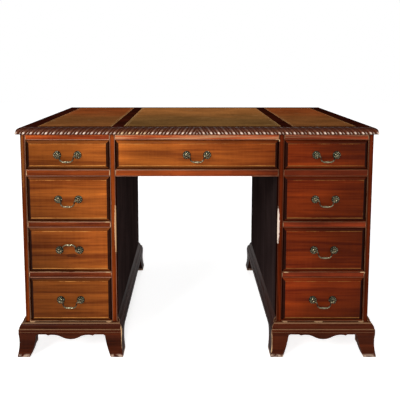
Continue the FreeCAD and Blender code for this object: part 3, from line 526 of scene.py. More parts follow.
# A painted shadow under the raised bail of the third left drawer.
BAIL_SHADOW = [((-0.423, -0.284, 0.352), (0.020, 0.010, 0.008), 0.5, "grime_and_shade")]
BASE_CHIPS = [((x, -0.284, z), CHIP, 1.0, "worn") for x, z in (
    (-0.564, 0.118), (-0.302, 0.118), (0.304, 0.118), (0.564, 0.118), (0.412, 0.118), (0.424, 0.118),
    (0.304, 0.290), (0.564, 0.290), (-0.302, 0.466), (-0.302, 0.290), (0.268, 0.746))]
FOOT_CHIPS = [((0.2545, -0.300, 0.050), FOOT_CHIP, 1.0, "worn"),
              ((-0.2545, -0.300, 0.070), FOOT_CHIP, 1.0, "worn"),
              ((-0.2555, -0.2975, 0.105), (0.005, 0.006, 0.016), 0.9, "worn")]


def mix_finishes(scene):
    """Makes the shared groups, then every material."""
    def pair(name, side=""):
        return [getattr(scene.desk_colours, f"{name}_{shade}{side}") for shade in ("light", "dark")]

    wood_grain_group()
    edge_wear_group()
    worn_spot_group()
    frame_pairs = pair("frame"), pair("frame", "_right")
    wood("carcass_polish", *frame_pairs, wear=0.75, figure=1.7)
    wood("stile_polish", *frame_pairs, wear=0.75, figure=1.7, specular=0.0, grime_and_shade=0.9, spots=STILE_WEAR_AND_SHEEN)
    wood("drawer_polish", pair("drawer"), pair("drawer", "_right"), wear=1.25, figure=1.25, bare="rubbed",
         grime_and_shade=0.95, spots=BAIL_SHADOW)
    wood("plinth_polish", pair("plinth"), wear=0.86, bare="plinth_worn", dimmed=1.0, toes=True,
         spots=BASE_CHIPS + FOOT_CHIPS)
    wood("bead_polish", pair("bead"), pair("bead", "_right"), wear=0.3, gloss=0.22, specular=0.0, grime_and_shade=0.9,
         spots=BASE_CHIPS + STILE_WEAR_AND_SHEEN[:2])
    wood("kneehole_stain", pair("stain"), wear=0.45, gloss=0.5, specular=0.0)
    wood("crossband_polish", pair("band"), wear=0.2, gloss=0.5, specular=0.0)
    wood("box_lining", pair("lining"), wear=0.15, gloss=0.62)
    wood("inner_wood", pair("inner"), wear=0.1, gloss=0.7)
    carved_wood()
    leather()
    brass("rosette_brass", 0.02, 0.6)
    brass("bail_brass", 0.36, 0.2)
    steel()


# Pieces

SHARP = math.radians(28)
CREASE = math.radians(50)
FLAT = math.radians(0.5)
LEVEL = math.cos(math.radians(1))
TOUCHING = 1e-5
TINY = 1e-12
WIDE = 3
SEED = 7
GRAIN_SPREAD = 40
PALE_SIDE_END = 0.27
PALE_SIDE_LENGTH = 0.27


def mesh_of(bm, name):
    """A new mesh with all that a bmesh holds; the bmesh goes."""
    mesh = bpy.data.meshes.new(name)
    bm.to_mesh(mesh)
    bm.free()
    return mesh


def clamped(value):
    return min(max(value, 0), 1)


def finished(name, mesh, nodes, material):
    """Hangs a mesh on its body in place of its nodes."""
    mesh.name = name
    mesh.materials.clear()
    mesh.materials.append(bpy.data.materials[material])
    piece = bpy.data.objects.new(name, mesh)
    bpy.context.scene.collection.objects.link(piece)
    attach(piece, frame["nodes"][nodes[0]]["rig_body"])
    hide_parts(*nodes)


def closed_shells(mesh):
    """The points and triangles of each solid in a node, whose triangles come solid by solid."""
    points = np.empty(len(mesh.vertices) * 3)
    mesh.vertices.foreach_get("co", points)
    points = points.reshape(-1, 3)
    _, first, same = np.unique(np.round(points, 6), axis=0, return_index=True, return_inverse=True)
    same = same.reshape(-1)
    triangles = []
    loose = set()
    for face in mesh.polygons:
        corners = [int(same[vertex]) for vertex in face.vertices]
        triangles.append(corners)
        for edge in zip(corners, corners[1:] + corners[:1]):
            if edge[::-1] in loose:
                loose.remove(edge[::-1])
            else:
                loose.add(edge)
        if not loose:
            yield points[first], triangles
            triangles = []


def along(low, high, crossed):
    """The axis that a board's grain follows: its length, or across it on crossbanding."""
    spans = list(high - low)
    if crossed:
        return int(spans[0] > spans[1])
    return spans.index(max(spans))


def boards_of(node):
    """A mesh of a node's boards with whole flat faces numbered by board, and each board's box."""
    bm = bmesh.new()
    board = bm.faces.layers.int.new("board")
    boxes = []
    for points, triangles in closed_shells(frame["nodes"][node].data):
        used = sorted({corner for triangle in triangles for corner in triangle})
        verts = {corner: bm.verts.new(points[corner]) for corner in used}
        for triangle in triangles:
            face = bm.faces.new([verts[corner] for corner in triangle])
            face.material_index = face[board] = len(boxes)
        boxes.append((points[used].min(0), points[used].max(0)))
    bm.normal_update()
    bmesh.ops.dissolve_limit(bm, angle_limit=FLAT, verts=bm.verts, edges=bm.edges, delimit={"MATERIAL"})
    for face in bm.faces:
        face.material_index = 0
    return bm, boxes


def weld_mitres(bm):
    """Boards glued at their mitres become one: faces that two boards share go, and their rims join."""
    shared = {}
    for face in bm.faces:
        key = frozenset(tuple(round(part, 5) for part in vert.co) for vert in face.verts)
        shared.setdefault(key, []).append(face)
    inside = [face for faces in shared.values() if len(faces) == 2 for face in faces]
    bmesh.ops.delete(bm, geom=inside, context="FACES")
    bmesh.ops.remove_doubles(bm, verts=bm.verts, dist=TOUCHING)


def smooth_faces(mesh):
    """Smooth shading between creases."""
    mesh.polygons.foreach_set("use_smooth", [True] * len(mesh.polygons))
    mesh.set_sharp_from_angle(angle=CREASE)


def weighted_normals(mesh):
    """Smooth shading in which wide flat faces keep their own direction."""
    normals = np.zeros((len(mesh.vertices), 3))
    for face in mesh.polygons:
        normals[list(face.vertices)] += np.array(face.normal) * face.area
    normals /= np.maximum(np.linalg.norm(normals, axis=1, keepdims=True), TINY)
    mesh.polygons.foreach_set("use_smooth", [True] * len(mesh.polygons))
    mesh.normals_split_custom_set_from_vertices(normals)


def flat_regions(bm, strips):
    """Flat areas, each made of one or more faces, that worn edges enclose on every side."""
    seen = set(strips)
    for start in bm.faces:
        if start in seen:
            continue
        seen.add(start)
        region = [start]
        for face in region:
            for edge in face.edges:
                for other in edge.link_faces:
                    if other not in seen and other.normal.dot(start.normal) > LEVEL:
                        seen.add(other)
                        region.append(other)
        inside = set(region)
        edges = {edge for face in region for edge in face.edges}
        if all(other in inside or other in strips for edge in edges for other in edge.link_faces):
            yield region


def is_wide(region, reach):
    """Whether a flat area has room for wear to creep on to it from its edges."""
    longest = max(edge.calc_length() for face in region for edge in face.edges)
    return sum(face.calc_area() for face in region) > WIDE * reach * longest


def paler_and_lit(x):
    """How far a place takes the paler left colours, partly the wood's own tone and partly painted light from
    the key lamp on the left: all the way on the left, not at all on the right.
    """
    return clamped((PALE_SIDE_END - x) / PALE_SIDE_LENGTH)


def softened(node, rounding, reach, crossed=False, welded=False, shade_and_wear=None, shade=None, hidden=None):
    """A mesh of a node's boards with worn edges, and with grain, tone and wear on each corner.

    The first callback gives a face's painted shade and its share of wear, shade how pale a board with this
    box is at a place, and hidden says of a face that no wear creeps on to it."""
    bm, boxes = boards_of(node)
    if welded:
        weld_mitres(bm)
    chance = np.random.default_rng(SEED + len(node)).random(len(boxes) * 3)
    sharp = [edge for edge in bm.edges if len(edge.link_faces) == 2 and edge.calc_face_angle(0) > SHARP]
    bmesh.ops.bevel(bm, geom=sharp, offset=rounding, offset_type="OFFSET", segments=2, profile=0.5,
                    affect="EDGES", clamp_overlap=True, material=1, loop_slide=True)
    strips = {face for face in bm.faces if face.material_index == 1}
    touched = [region for region in flat_regions(bm, strips) if not (hidden and hidden(region[0]))]
    wide = [face for region in touched if is_wide(region, reach) for face in region]
    rings = set(bmesh.ops.inset_region(bm, faces=wide, thickness=reach, use_boundary=True,
                                       use_even_offset=True)["faces"])
    rims = {vert for face in strips for vert in face.verts}
    grain = bm.loops.layers.float_vector.new("grain")
    tone = bm.loops.layers.float_vector.new("tone")
    wear = bm.loops.layers.float.new("wear")
    number = bm.faces.layers.int["board"]
    for face in bm.faces:
        board = face[number]
        low, high = boxes[board]
        axis = along(low, high, crossed)
        middle = (low[0] + high[0]) / 2
        start = chance[3 * board] * GRAIN_SPREAD
        painted_shade, rubbing = shade_and_wear(face) if shade_and_wear else (0, 1)
        for loop in face.loops:
            place = loop.vert.co
            across = [place[other] for other in range(3) if other != axis]
            loop[grain] = (place[axis] + start, across[0] + start, across[1] + start)
            pale = shade(low, high, place) if shade else chance[3 * board + 1]
            # Tone: the share of the paler, partly painted-lit left colours, the paleness (with a painted
            # sheen on drawer fronts) and the painted shade.
            loop[tone] = ((paler_and_lit(middle) + 2 * paler_and_lit(place.x)) / 3, pale, painted_shade)
            loop[wear] = rubbing * float(face in strips or (face in rings and loop.vert in rims))
        face.material_index = 0
    mesh = mesh_of(bm, node)
    weighted_normals(mesh)
    return mesh


def plain_mesh(piece):
    """The evaluated mesh of an object that only its nodes or modifiers shape; the object goes."""
    depsgraph = bpy.context.evaluated_depsgraph_get()
    mesh = bpy.data.meshes.new_from_object(piece.evaluated_get(depsgraph))
    bpy.data.objects.remove(piece)
    return mesh


def grown(name, tree, values, mesh=None):
    """The plain mesh that a geometry tree makes with these input values."""
    piece = bpy.data.objects.new(name, mesh or bpy.data.meshes.new(name))
    bpy.context.scene.collection.objects.link(piece)
    modifier = piece.modifiers.new(name, "NODES")
    modifier.node_group = tree
    for item in tree.interface.items_tree:
        if item.item_type == "SOCKET" and item.in_out == "INPUT" and item.name in values:
            modifier[item.identifier] = values[item.name]
    return plain_mesh(piece)


CARCASS = {
    "stile_polish": ["front_stiles"],
    "carcass_polish": ["outer_side_left", "outer_side_right", "pedestal_backs", "frieze_back",
                       "frieze_rails", "drawer_rails"],
    "kneehole_stain": ["kneehole_side_left", "kneehole_side_right", "kneehole_soffit"],
    "bead_polish": ["cock_beads"],
    "inner_wood": ["top_board", "bottom_boards", "drawer_runners", "kickers", "drawer_stops",
                   "plinth_blocks"],
}
TOP_RAILS = 0.745
FRIEZE = 0.62
RAIL_SHADES = {"top": (5.0, 10.6, 8.6), "frieze": (0.7, 2.1, 0.9), "drawer": (0.2, 0.6, 6.0)}
KNEE_BOARDS = 0.30
KNEE_SHADE = -1.5
PLINTH_SHADE = 0.6
LEVEL_BEAD = 0.6
UPRIGHT_BEAD = -1.1
BEAD_CREST = 0.985
BEAD_TURN = 0.15
SIDEWAYS = 0.7
FRONT = -0.27
RARELY = 0.58


def rail_shade(low, high, place):
    """Top rails are bleached, most in the middle, and the right drawer rails are rubbed."""
    row = "top" if low[2] > TOP_RAILS else "frieze" if low[2] > FRIEZE else "drawer"
    middle = (low[0] + high[0]) / 2
    return RAIL_SHADES[row][0 if middle < -PALE_SIDE_END else 2 if middle > PALE_SIDE_END else 1]


def plinth_shade(low, high, place):
    """Plinth boards that face the kneehole are painted dark as the kneehole's shade."""
    return KNEE_SHADE if max(-low[0], high[0]) < KNEE_BOARDS else PLINTH_SHADE


def bead_painted_highlight(low, high, place):
    """Level beads are painted paler, as a highlight from the lamps above, and upright ones darker."""
    return LEVEL_BEAD if high[0] - low[0] > high[2] - low[2] else UPRIGHT_BEAD


def handled(face):
    """Edges at the front are rubbed, and those behind it only here and there."""
    return 0, 1 if face.calc_center_median().y < FRONT else RARELY


def plinth_soil(face):
    """Feet are rubbed like other edges, but not where they face the kneehole."""
    place = face.calc_center_median()
    if abs(place.x) < KNEE_BOARDS and place.y > FRONT:
        return 0, 0
    return handled(face)


def stile_shade_and_wear(face):
    """Stiles take painted shade and no wear where they face the kneehole."""
    if abs(face.calc_center_median().x) < KNEE_BOARDS and abs(face.normal.x) > SIDEWAYS:
        return 1, 0
    return handled(face)


def bead_painted_shade(face):
    """Painted shade on the sides of a bead, beside its crest, which faces the sitter and stays pale."""
    return clamped((BEAD_CREST + face.normal.y) / BEAD_TURN), 1


BOARD_SHADES = {"frieze_rails": rail_shade, "drawer_rails": rail_shade, "cock_beads": bead_painted_highlight}
BOARD_SHADE_AND_WEAR = {"front_stiles": stile_shade_and_wear, "cock_beads": bead_painted_shade}


def make_carcass(scene):
    sizes = scene.desk_sizes
    for material, nodes in CARCASS.items():
        for node in nodes:
            mesh = softened(node, sizes.rounding, sizes.wear_reach, shade_and_wear=BOARD_SHADE_AND_WEAR.get(node, handled),
                            shade=BOARD_SHADES.get(node))
            finished(f"{node}_wood", mesh, [node], material)
    screws = frame["nodes"]["top_screws"].data.materials
    screws.clear()
    screws.append(bpy.data.materials["screw_metal"])


def inner_side(node):
    """A test for faces that look towards the middle of a node, where nobody touches them."""
    low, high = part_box(node)
    middle = (low + high) / 2
    return lambda face: (middle - face.calc_center_median()).dot(face.normal) > 0


def make_plinths(scene):
    sizes = scene.desk_sizes
    for node in ("plinth_left", "plinth_right", "base_mouldings"):
        mesh = softened(node, sizes.foot_rounding, sizes.wear_reach, welded=True, shade_and_wear=plinth_soil,
                        shade=plinth_shade, hidden=inner_side(node))
        finished(f"{node}_wood", mesh, [node], "plinth_polish")


LENGTH_SOCKETS = ("Half Length", "Half Depth", "Lobes")
SHARED_SOCKETS = ("Lobe Depth", "Lean", "Start", "Lobe Width", "Radius", "Inset", "Low Angle", "High Angle",
                  "Middle", "Under", "Top")
BACK_ROWS = 3
REED_SWELL = 0.72
# Share of the lobes' painted highlight on the reeds.
REED_HIGHLIGHT = 0.5
LOW_END = (0.0, 0.12)
HIGH_END = (1.0, 0.86)
# Ramps that place the painted highlight on the lobes.
NOSE_RISE = (0.34, 0.20)
NOSE_ASIDE = (0.55, 0.20)
UPPER_RISE = (0.95, 0.30)
UPPER_ASIDE = (0.50, 0.10)
UPPER_RUN = (0.05, 0.35, 0.17, 0.05)
HIGHLIGHT_FOOT = (0.02, 0.09)


def carved_length_group():
    """One length of gadrooned edge along X: wide lobes and narrow reeds that lean to the middle going up."""
    inputs = {**dict.fromkeys(LENGTH_SOCKETS + SHARED_SOCKETS, "Float"), "Columns": "Int", "Rows": "Int"}
    net, given, put = new_group("Carved length", "GeometryNodeTree", inputs, {"Mesh": "Geometry"})
    carved_rows = given["Rows"]
    rows = carved_rows + BACK_ROWS
    grid = net.node("GeometryNodeMeshGrid", {"Vertices X": given["Columns"], "Vertices Y": rows}, "Mesh")
    index = net.node("GeometryNodeInputIndex")
    row = net.math("FLOORED_MODULO", index, rows)
    column = net.math("FLOOR", index / rows)
    row = net.switch(row > carved_rows + 1.5, row, 0.0)
    run = column / (given["Columns"] - 1) * 2.0 - 1.0
    rise = net.math("MINIMUM", row / (carved_rows - 1), 1.0)
    turn = rise * (given["High Angle"] - given["Low Angle"]) + given["Low Angle"]
    phase = net.math("FRACT", abs(run) * given["Lobes"] + rise * given["Lean"] + given["Start"])
    width = given["Lobe Width"]
    reed = phase > width
    across = net.switch(reed, phase / width, (phase - width) / (1.0 - width)) * 2.0 - 1.0
    swell = net.math("SQRT", net.math("MAXIMUM", 1.0 - across * across, 0.0))
    swell = swell * net.switch(reed, 1.0, REED_SWELL)
    carve = (1.0 - swell) * net.ramp(rise, *LOW_END) * net.ramp(rise, *HIGH_END)
    radius = given["Radius"] - carve * given["Lobe Depth"]
    behind = row > carved_rows - 0.5
    below = row > carved_rows + 0.5
    inset = net.switch(behind, given["Radius"] - radius * net.math("COSINE", turn), given["Inset"])
    height = net.switch(behind, radius * net.math("SINE", turn) + given["Middle"],
                        net.switch(below, given["Top"], given["Under"]))
    aside = abs(across)
    # A painted highlight on the lobes: low on each nose, and faintly up the crest near the middle of each
    # length.
    nose = net.ramp(rise, *NOSE_RISE) * net.ramp(aside, *NOSE_ASIDE)
    upper = net.ramp(rise, *UPPER_RISE) * net.ramp(aside, *UPPER_ASIDE) * net.ramp(abs(run), *UPPER_RUN)
    rub = net.math("MAXIMUM", nose, upper) * net.switch(reed, 1.0, REED_HIGHLIGHT) * net.ramp(rise, *HIGHLIGHT_FOOT)
    mesh = net.store(grid, "carve", net.switch(behind, carve, 1.0))
    mesh = net.store(mesh, "rub", rub)
    place = net.vector(run * (given["Half Length"] - inset), inset - given["Half Depth"], height)
    mesh = net.node("GeometryNodeSetPosition", {"Geometry": mesh, "Position": place})
    mesh = net.store(mesh, "grain", net.node("GeometryNodeInputPosition"), "FLOAT_VECTOR")
    net.fill(put["Mesh"], mesh)
    return net.tree


def carved_edge_group():
    """Four carved lengths mitred into a closed ring."""
    length_tree = carved_length_group()
    halves = ("Half Width", "Half Depth", "Long Lobes", "Short Lobes")
    inputs = {"Geometry": "Geometry", **dict.fromkeys(halves + SHARED_SOCKETS, "Float"), "Rows": "Int",
              "Lobe Columns": "Int", "Centre": "Vector", "Material": "Material"}
    net, given, put = new_group("Carved edge", "GeometryNodeTree", inputs, {"Geometry": "Geometry"})
    shared = {name: given[name] for name in (*SHARED_SOCKETS, "Rows")}
    lengths = []
    sides = (("Half Width", "Half Depth", "Long Lobes"), ("Half Depth", "Half Width", "Short Lobes"))
    for quarter, (half, other, lobes) in enumerate(sides):
        columns = given[lobes] * 2.0 * given["Lobe Columns"] + 1
        made = net.node("GeometryNodeGroup", {**shared, "Columns": columns, "Half Length": given[half],
                                              "Half Depth": given[other], "Lobes": given[lobes]},
                        node_tree=length_tree)
        for half_turn in (0, 2):
            rotation = (0, 0, math.pi / 2 * (quarter + half_turn))
            lengths.append(net.node("GeometryNodeTransform", {"Geometry": made, "Rotation": rotation,
                                                              "Translation": given["Centre"]}))
    merged = net.node("GeometryNodeMergeByDistance", {"Geometry": net.join(*lengths), "Distance": TOUCHING})
    net.fill(put["Geometry"], net.coat(merged, given["Material"]))
    return net.tree


EDGE_RADIUS = 0.017
EDGE_INSET = 0.016
NOSE_DROP = 0.0052
LOW_TURN = math.radians(-17.6)
HIGH_TURN = math.radians(81.4)


def carve_edges(scene):
    sizes = scene.desk_sizes
    low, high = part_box("edge_mouldings")
    values = {
        "Half Width": (high.x - low.x) / 2, "Half Depth": (high.y - low.y) / 2,
        "Long Lobes": sizes.long_lobes, "Short Lobes": sizes.short_lobes, "Lobe Columns": sizes.lobe_columns,
        "Rows": sizes.lobe_rows, "Lobe Depth": sizes.lobe_depth, "Lean": sizes.lobe_lean,
        "Start": sizes.lobe_start, "Lobe Width": sizes.lobe_width, "Radius": EDGE_RADIUS, "Inset": EDGE_INSET,
        "Low Angle": LOW_TURN, "High Angle": HIGH_TURN,
        "Middle": low.z + NOSE_DROP, "Under": low.z, "Top": high.z,
        "Centre": ((low.x + high.x) / 2, (low.y + high.y) / 2, 0),
        "Material": bpy.data.materials["carved_polish"],
    }
    mesh = grown("carved_edge", carved_edge_group(), values)
    bm = bmesh.new()
    bm.from_mesh(mesh)
    bmesh.ops.recalc_face_normals(bm, faces=bm.faces)
    bm.to_mesh(mesh)
    bm.free()
    smooth_faces(mesh)
    finished("carved_edge", mesh, ["edge_mouldings"], "carved_polish")


TOOLED_INSETS = [(0.0, -0.0005, 0), (0.0006, 0, 0), (0.0022, 0, 0), (0.0024, -0.0003, 1),
                 (0.0040, -0.0003, 1), (0.0042, 0, 0), (0.0098, 0, 0), (0.0100, -0.0002, 1),
                 (0.0106, -0.0002, 1), (0.0108, 0, 0)]
CROWN_INSETS = (0.04, 0.09)


def leather_mesh(crown):
    """Three panels with rounded rims and tooled grooves, each a nest of rectangles."""
    crowned = [(inset, crown * inset / CROWN_INSETS[-1], 0) for inset in CROWN_INSETS]
    panels, boxes = boards_of("leather_panels")
    panels.free()
    bm = bmesh.new()
    wear = bm.loops.layers.float.new("wear")
    for low, high in boxes:
        loops = []
        for inset, lift, tooled in TOOLED_INSETS + crowned:
            left, right = low[0] + inset, high[0] - inset
            front, rear = low[1] + inset, high[1] - inset
            corners = [(left, front), (right, front), (right, rear), (left, rear)]
            loops.append(([bm.verts.new((x, y, high[2] + lift)) for x, y in corners], tooled))
        base = [bm.verts.new((vert.co.x, vert.co.y, low[2])) for vert in loops[0][0]]
        for (outer, outer_tooled), (inner, inner_tooled) in zip([(base, 0)] + loops, loops):
            for corner in range(4):
                following = (corner + 1) % 4
                face = bm.faces.new((outer[corner], outer[following], inner[following], inner[corner]))
                for loop in face.loops:
                    loop[wear] = float(outer_tooled and inner_tooled)
        bm.faces.new(loops[-1][0])
        bm.faces.new(base[::-1])
    mesh = mesh_of(bm, "leather")
    weighted_normals(mesh)
    return mesh


def make_top(scene):
    sizes = scene.desk_sizes
    mesh = softened("top_crossbanding", sizes.rounding / 2, sizes.wear_reach, crossed=True)
    finished("crossbanding_wood", mesh, ["top_crossbanding"], "crossband_polish")
    mesh = leather_mesh(sizes.leather_crown)
    finished("leather", mesh, ["leather_panels"], "waxed_hide")


FIELD_DEPTH = 0.0012
REARWARDS = 0.5
# Painted shade and share of wear on each border of a drawer front.
BORDER_SHADE_AND_WEAR = {"side": (1.0, 0.30), "floor": (0.55, 0.85), "head": (0.4, 0.50)}
# Paleness of each drawer front, and how far a painted sheen makes it paler towards its right end and towards
# its head.
DRAWER_PALENESS_AND_SHEEN = {
    "centre": (1.1, -0.5, 0.9),
    "left_1": (0.2, 0.7, 0.1), "left_2": (0.9, 0.9, 1.2),
    "left_3": (0.4, 1.5, 1.1), "left_4": (-0.6, 0.3, 0.0),
    "right_1": (0.5, -1.7, -0.5), "right_2": (0.3, -1.1, 0.3),
    "right_3": (0.1, -1.2, -0.7), "right_4": (0.8, -1.6, 1.6),
}


def border_shade_and_wear(node):
    """Painted shade and wear round a drawer front: side borders painted black, a head painted less dark as if
    lit from above, and a rubbed foot to the field.
    """
    low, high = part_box(node)

    def shade_and_wear(face):
        place = face.calc_center_median()
        gaps = {"floor": place.z - low.z, "head": high.z - place.z,
                "side": min(place.x - low.x, high.x - place.x)}
        painted_shade, rubbing = BORDER_SHADE_AND_WEAR[min(gaps, key=gaps.get)]
        return (painted_shade if place.y > low.y + FIELD_DEPTH else 0), rubbing

    return shade_and_wear


def drawer_paleness_and_sheen(name):
    """Paleness of a drawer front, with a painted sheen that changes it unevenly from end to end and foot to
    head.
    """
    pale, right, up = DRAWER_PALENESS_AND_SHEEN[name]

    def shade(low, high, place):
        across, rise = [(2 * place[axis] - low[axis] - high[axis]) / (high[axis] - low[axis])
                        for axis in (0, 2)]
        return pale + right * across + up * rise

    return shade


def make_drawers(scene):
    sizes = scene.desk_sizes
    for name in DRAWERS:
        front = f"drawer_{name}_front"
        mesh = softened(front, sizes.rounding, sizes.wear_reach, shade_and_wear=border_shade_and_wear(front),
                        shade=drawer_paleness_and_sheen(name), hidden=lambda face: face.normal.y > REARWARDS)
        finished(f"{front}_wood", mesh, [front], "drawer_polish")
        box = f"drawer_{name}_box"
        mesh = softened(box, sizes.rounding, sizes.wear_reach, hidden=lambda face: True)
        finished(f"{box}_wood", mesh, [box], "box_lining")


def lathe(bm, outline, steps, wear, rubbed=()):
    """Turns an outline of (radius, height) round Z; rubbed holds the rows whose corners are crests."""
    rings = []
    for radius, height in outline:
        if radius == 0:
            rings.append([bm.verts.new((0, 0, height))])
            continue
        turns = [2 * math.pi * step / steps for step in range(steps)]
        points = [(radius * math.cos(turn), radius * math.sin(turn), height) for turn in turns]
        rings.append([bm.verts.new(point) for point in points])
    for row, (lower, upper) in enumerate(zip(rings, rings[1:])):
        for step in range(steps):
            following = (step + 1) % steps
            corners = [lower[step % len(lower)], lower[following % len(lower)], upper[following % len(upper)],
                       upper[step % len(upper)]]
            face = bm.faces.new(list(dict.fromkeys(corners)))
            for loop in face.loops:
                loop[wear] = float((row if loop.vert in lower else row + 1) in rubbed)


ROSETTE = [(0, 0), (0.0135, 0), (0.0135, 0.0008), (0.0130, 0.0012), (0.0112, 0.0013), (0.0070, 0.0020),
           (0.0062, 0.0038), (0.0050, 0.0040), (0.0045, 0.0048), (0.0045, 0.0053), (0.0037, 0.0058),
           (0.0032, 0.0070), (0.0034, 0.0088), (0.0048, 0.0104), (0.0054, 0.0121), (0.0055, 0.0130),
           (0.0054, 0.0140), (0.0047, 0.0158), (0.0033, 0.0174), (0.0016, 0.0183), (0, 0.0185)]
ROSETTE_CRESTS = {6, 7, 9, 14, 15, 16, 17, 18}
PLATE_STEPS = 28
SHANK = [(0, -0.028), (0.0022, -0.028), (0.0025, -0.0277), (0.0025, -0.0002), (0, -0.0002)]
SHANK_STEPS = 16
NUT = [(0.0025, -0.0260), (0.0040, -0.0260), (0.0046, -0.0255), (0.0046, -0.0222), (0.0025, -0.0220)]
NUT_SIDES = 6
PETAL_RING = 0.0098
PETAL_SIZE = (0.0036, 0.0027, 0.0019)
PETAL_HEIGHT = 0.0016
PETAL_CREST = (0.6, 1.0)


def rosette_group():
    """Petals set round a turned plate."""
    inputs = {"Geometry": "Geometry", "Petals": "Int", "Ring": "Float", "Height": "Float", "Size": "Vector",
              "Material": "Material"}
    net, given, put = new_group("Rosette petals", "GeometryNodeTree", inputs, {"Geometry": "Geometry"})
    ring = net.node("GeometryNodeMeshCircle", {"Vertices": given["Petals"], "Radius": given["Ring"]})
    petal = net.node("GeometryNodeMeshUVSphere", {"Segments": 10, "Rings": 6, "Radius": 1.0}, "Mesh")
    height = net.parts(net.node("GeometryNodeInputPosition"))[2]
    crest = net.store(petal, "wear", net.ramp(height, *PETAL_CREST))
    turn = net.node("GeometryNodeInputIndex") * (2 * math.pi) / given["Petals"]
    placed = net.node("GeometryNodeInstanceOnPoints", {
        "Points": ring, "Instance": crest, "Rotation": net.vector(0.0, 0.0, turn), "Scale": given["Size"]})
    lift = net.vector(0.0, 0.0, given["Height"])
    lifted = net.node("GeometryNodeTransform", {"Geometry": placed, "Translation": lift})
    net.fill(put["Geometry"], net.coat(net.join(lifted, given["Geometry"]), given["Material"]))
    return net.tree


def rosette_mesh(petals):
    """A petalled rosette with its post and nut, about Z, its back on the origin."""
    bm = bmesh.new()
    wear = bm.loops.layers.float.new("wear")
    lathe(bm, ROSETTE, PLATE_STEPS, wear, ROSETTE_CRESTS)
    lathe(bm, SHANK, SHANK_STEPS, wear)
    lathe(bm, NUT + NUT[:1], NUT_SIDES, wear)
    values = {"Petals": petals, "Ring": PETAL_RING, "Height": PETAL_HEIGHT, "Size": PETAL_SIZE,
              "Material": bpy.data.materials["rosette_brass"]}
    return grown("rosette", rosette_group(), values, mesh_of(bm, "rosette_plate"))


POST = 0.034
PIVOT = 0.013
BAIL_LINE = [(0.0315, 0), (0.0290, 0), (0.0262, -0.0006), (0.0240, -0.0028), (0.0232, -0.0054),
             (0.0230, -0.0080), (0.0222, -0.0124), (0.0197, -0.0167), (0.0161, -0.0195), (0.0127, -0.0207)]
BAIL_RADII = [0.0020, 0.00225, 0.0023, 0.0022, 0.0020, 0.0019, 0.0020, 0.0022, 0.0023, 0.0022]
BAIL_SIDES = 14
GRIP = [(0.0112, 0.0030), (0.0100, 0.0030), (0.0094, 0.0023), (0.0080, 0.0027), (0.0050, 0.0034),
        (0.0, 0.0037)]
GRIP_RADIUS = 0.00375
RUBBED_FROM = 0.0019
RUBBED_OVER = 0.0012
BAIL_DROP = 0.021
LEAN_GAP = 0.0006
RAISED = {"left_3"}
RAISED_TURN = math.pi + math.asin((PIVOT - GRIP_RADIUS - LEAN_GAP) / BAIL_DROP)
REAR = Vector((0, 1, 0))


def bail_mesh():
    """A swan-neck bail hanging in the XZ plane from the X axis: two necks and a grip, swept as one tube."""
    half = [(Vector((x, 0, z)), radius) for (x, z), radius in zip(BAIL_LINE, BAIL_RADII)]
    half += [(Vector((x, 0, -BAIL_DROP)), radius) for x, radius in GRIP]
    stations = half + [(Vector((-point.x, 0, point.z)), radius) for point, radius in half[-2::-1]]
    bm = bmesh.new()
    wear = bm.verts.layers.float.new("wear")
    rings = []
    for number, (point, radius) in enumerate(stations):
        before = stations[max(number - 1, 0)][0]
        after = stations[min(number + 1, len(stations) - 1)][0]
        out = REAR.cross((after - before).normalized())
        ring = []
        for side in range(BAIL_SIDES):
            turn = 2 * math.pi * side / BAIL_SIDES
            vert = bm.verts.new(point + radius * (math.cos(turn) * out + math.sin(turn) * REAR))
            vert[wear] = clamped((radius - RUBBED_FROM) / RUBBED_OVER)
            ring.append(vert)
        rings.append(ring)
    for first, second in zip(rings, rings[1:]):
        for side in range(BAIL_SIDES):
            following = (side + 1) % BAIL_SIDES
            bm.faces.new((first[side], first[following], second[following], second[side]))
    bm.faces.new(rings[0][::-1])
    bm.faces.new(rings[-1])
    bmesh.ops.recalc_face_normals(bm, faces=bm.faces)
    piece = bpy.data.objects.new("bail", mesh_of(bm, "bail"))
    bpy.context.scene.collection.objects.link(piece)
    smooth = piece.modifiers.new("Smooth", "SUBSURF")
    smooth.levels = smooth.render_levels = 1
    return plain_mesh(piece)


def handle_place(name):
    """The point on the face of a drawer front that lies midway between its posts."""
    low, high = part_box(f"drawer_{name}_handle")
    middle = (low + high) / 2
    return middle.x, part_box(f"drawer_{name}_front")[0].y, middle.z


def make_handles(scene):
    rosette = rosette_mesh(scene.desk_sizes.petals)
    facing = Matrix.Rotation(math.pi / 2, 4, "X")
    for name in DRAWERS:
        node = f"drawer_{name}_handle"
        x, y, z = handle_place(name)
        bm = bmesh.new()
        for side in (-1, 1):
            half = rosette.copy()
            half.transform(Matrix.Translation((x + side * POST, y, z)) @ facing)
            bm.from_mesh(half)
            bpy.data.meshes.remove(half)
        mesh = mesh_of(bm, node)
        smooth_faces(mesh)
        finished(f"handle_{name}", mesh, [node], "rosette_brass")


def make_bails(scene):
    pattern = bail_mesh()
    for name in DRAWERS:
        node = f"drawer_{name}_bail"
        x, y, z = handle_place(name)
        mesh = pattern.copy()
        if name in RAISED:
            mesh.transform(Matrix.Rotation(-RAISED_TURN, 4, "X"))
        mesh.transform(Matrix.Translation((x, y - PIVOT, z)))
        smooth_faces(mesh)
        finished(f"bail_{name}", mesh, [node], "bail_brass")


# Stage

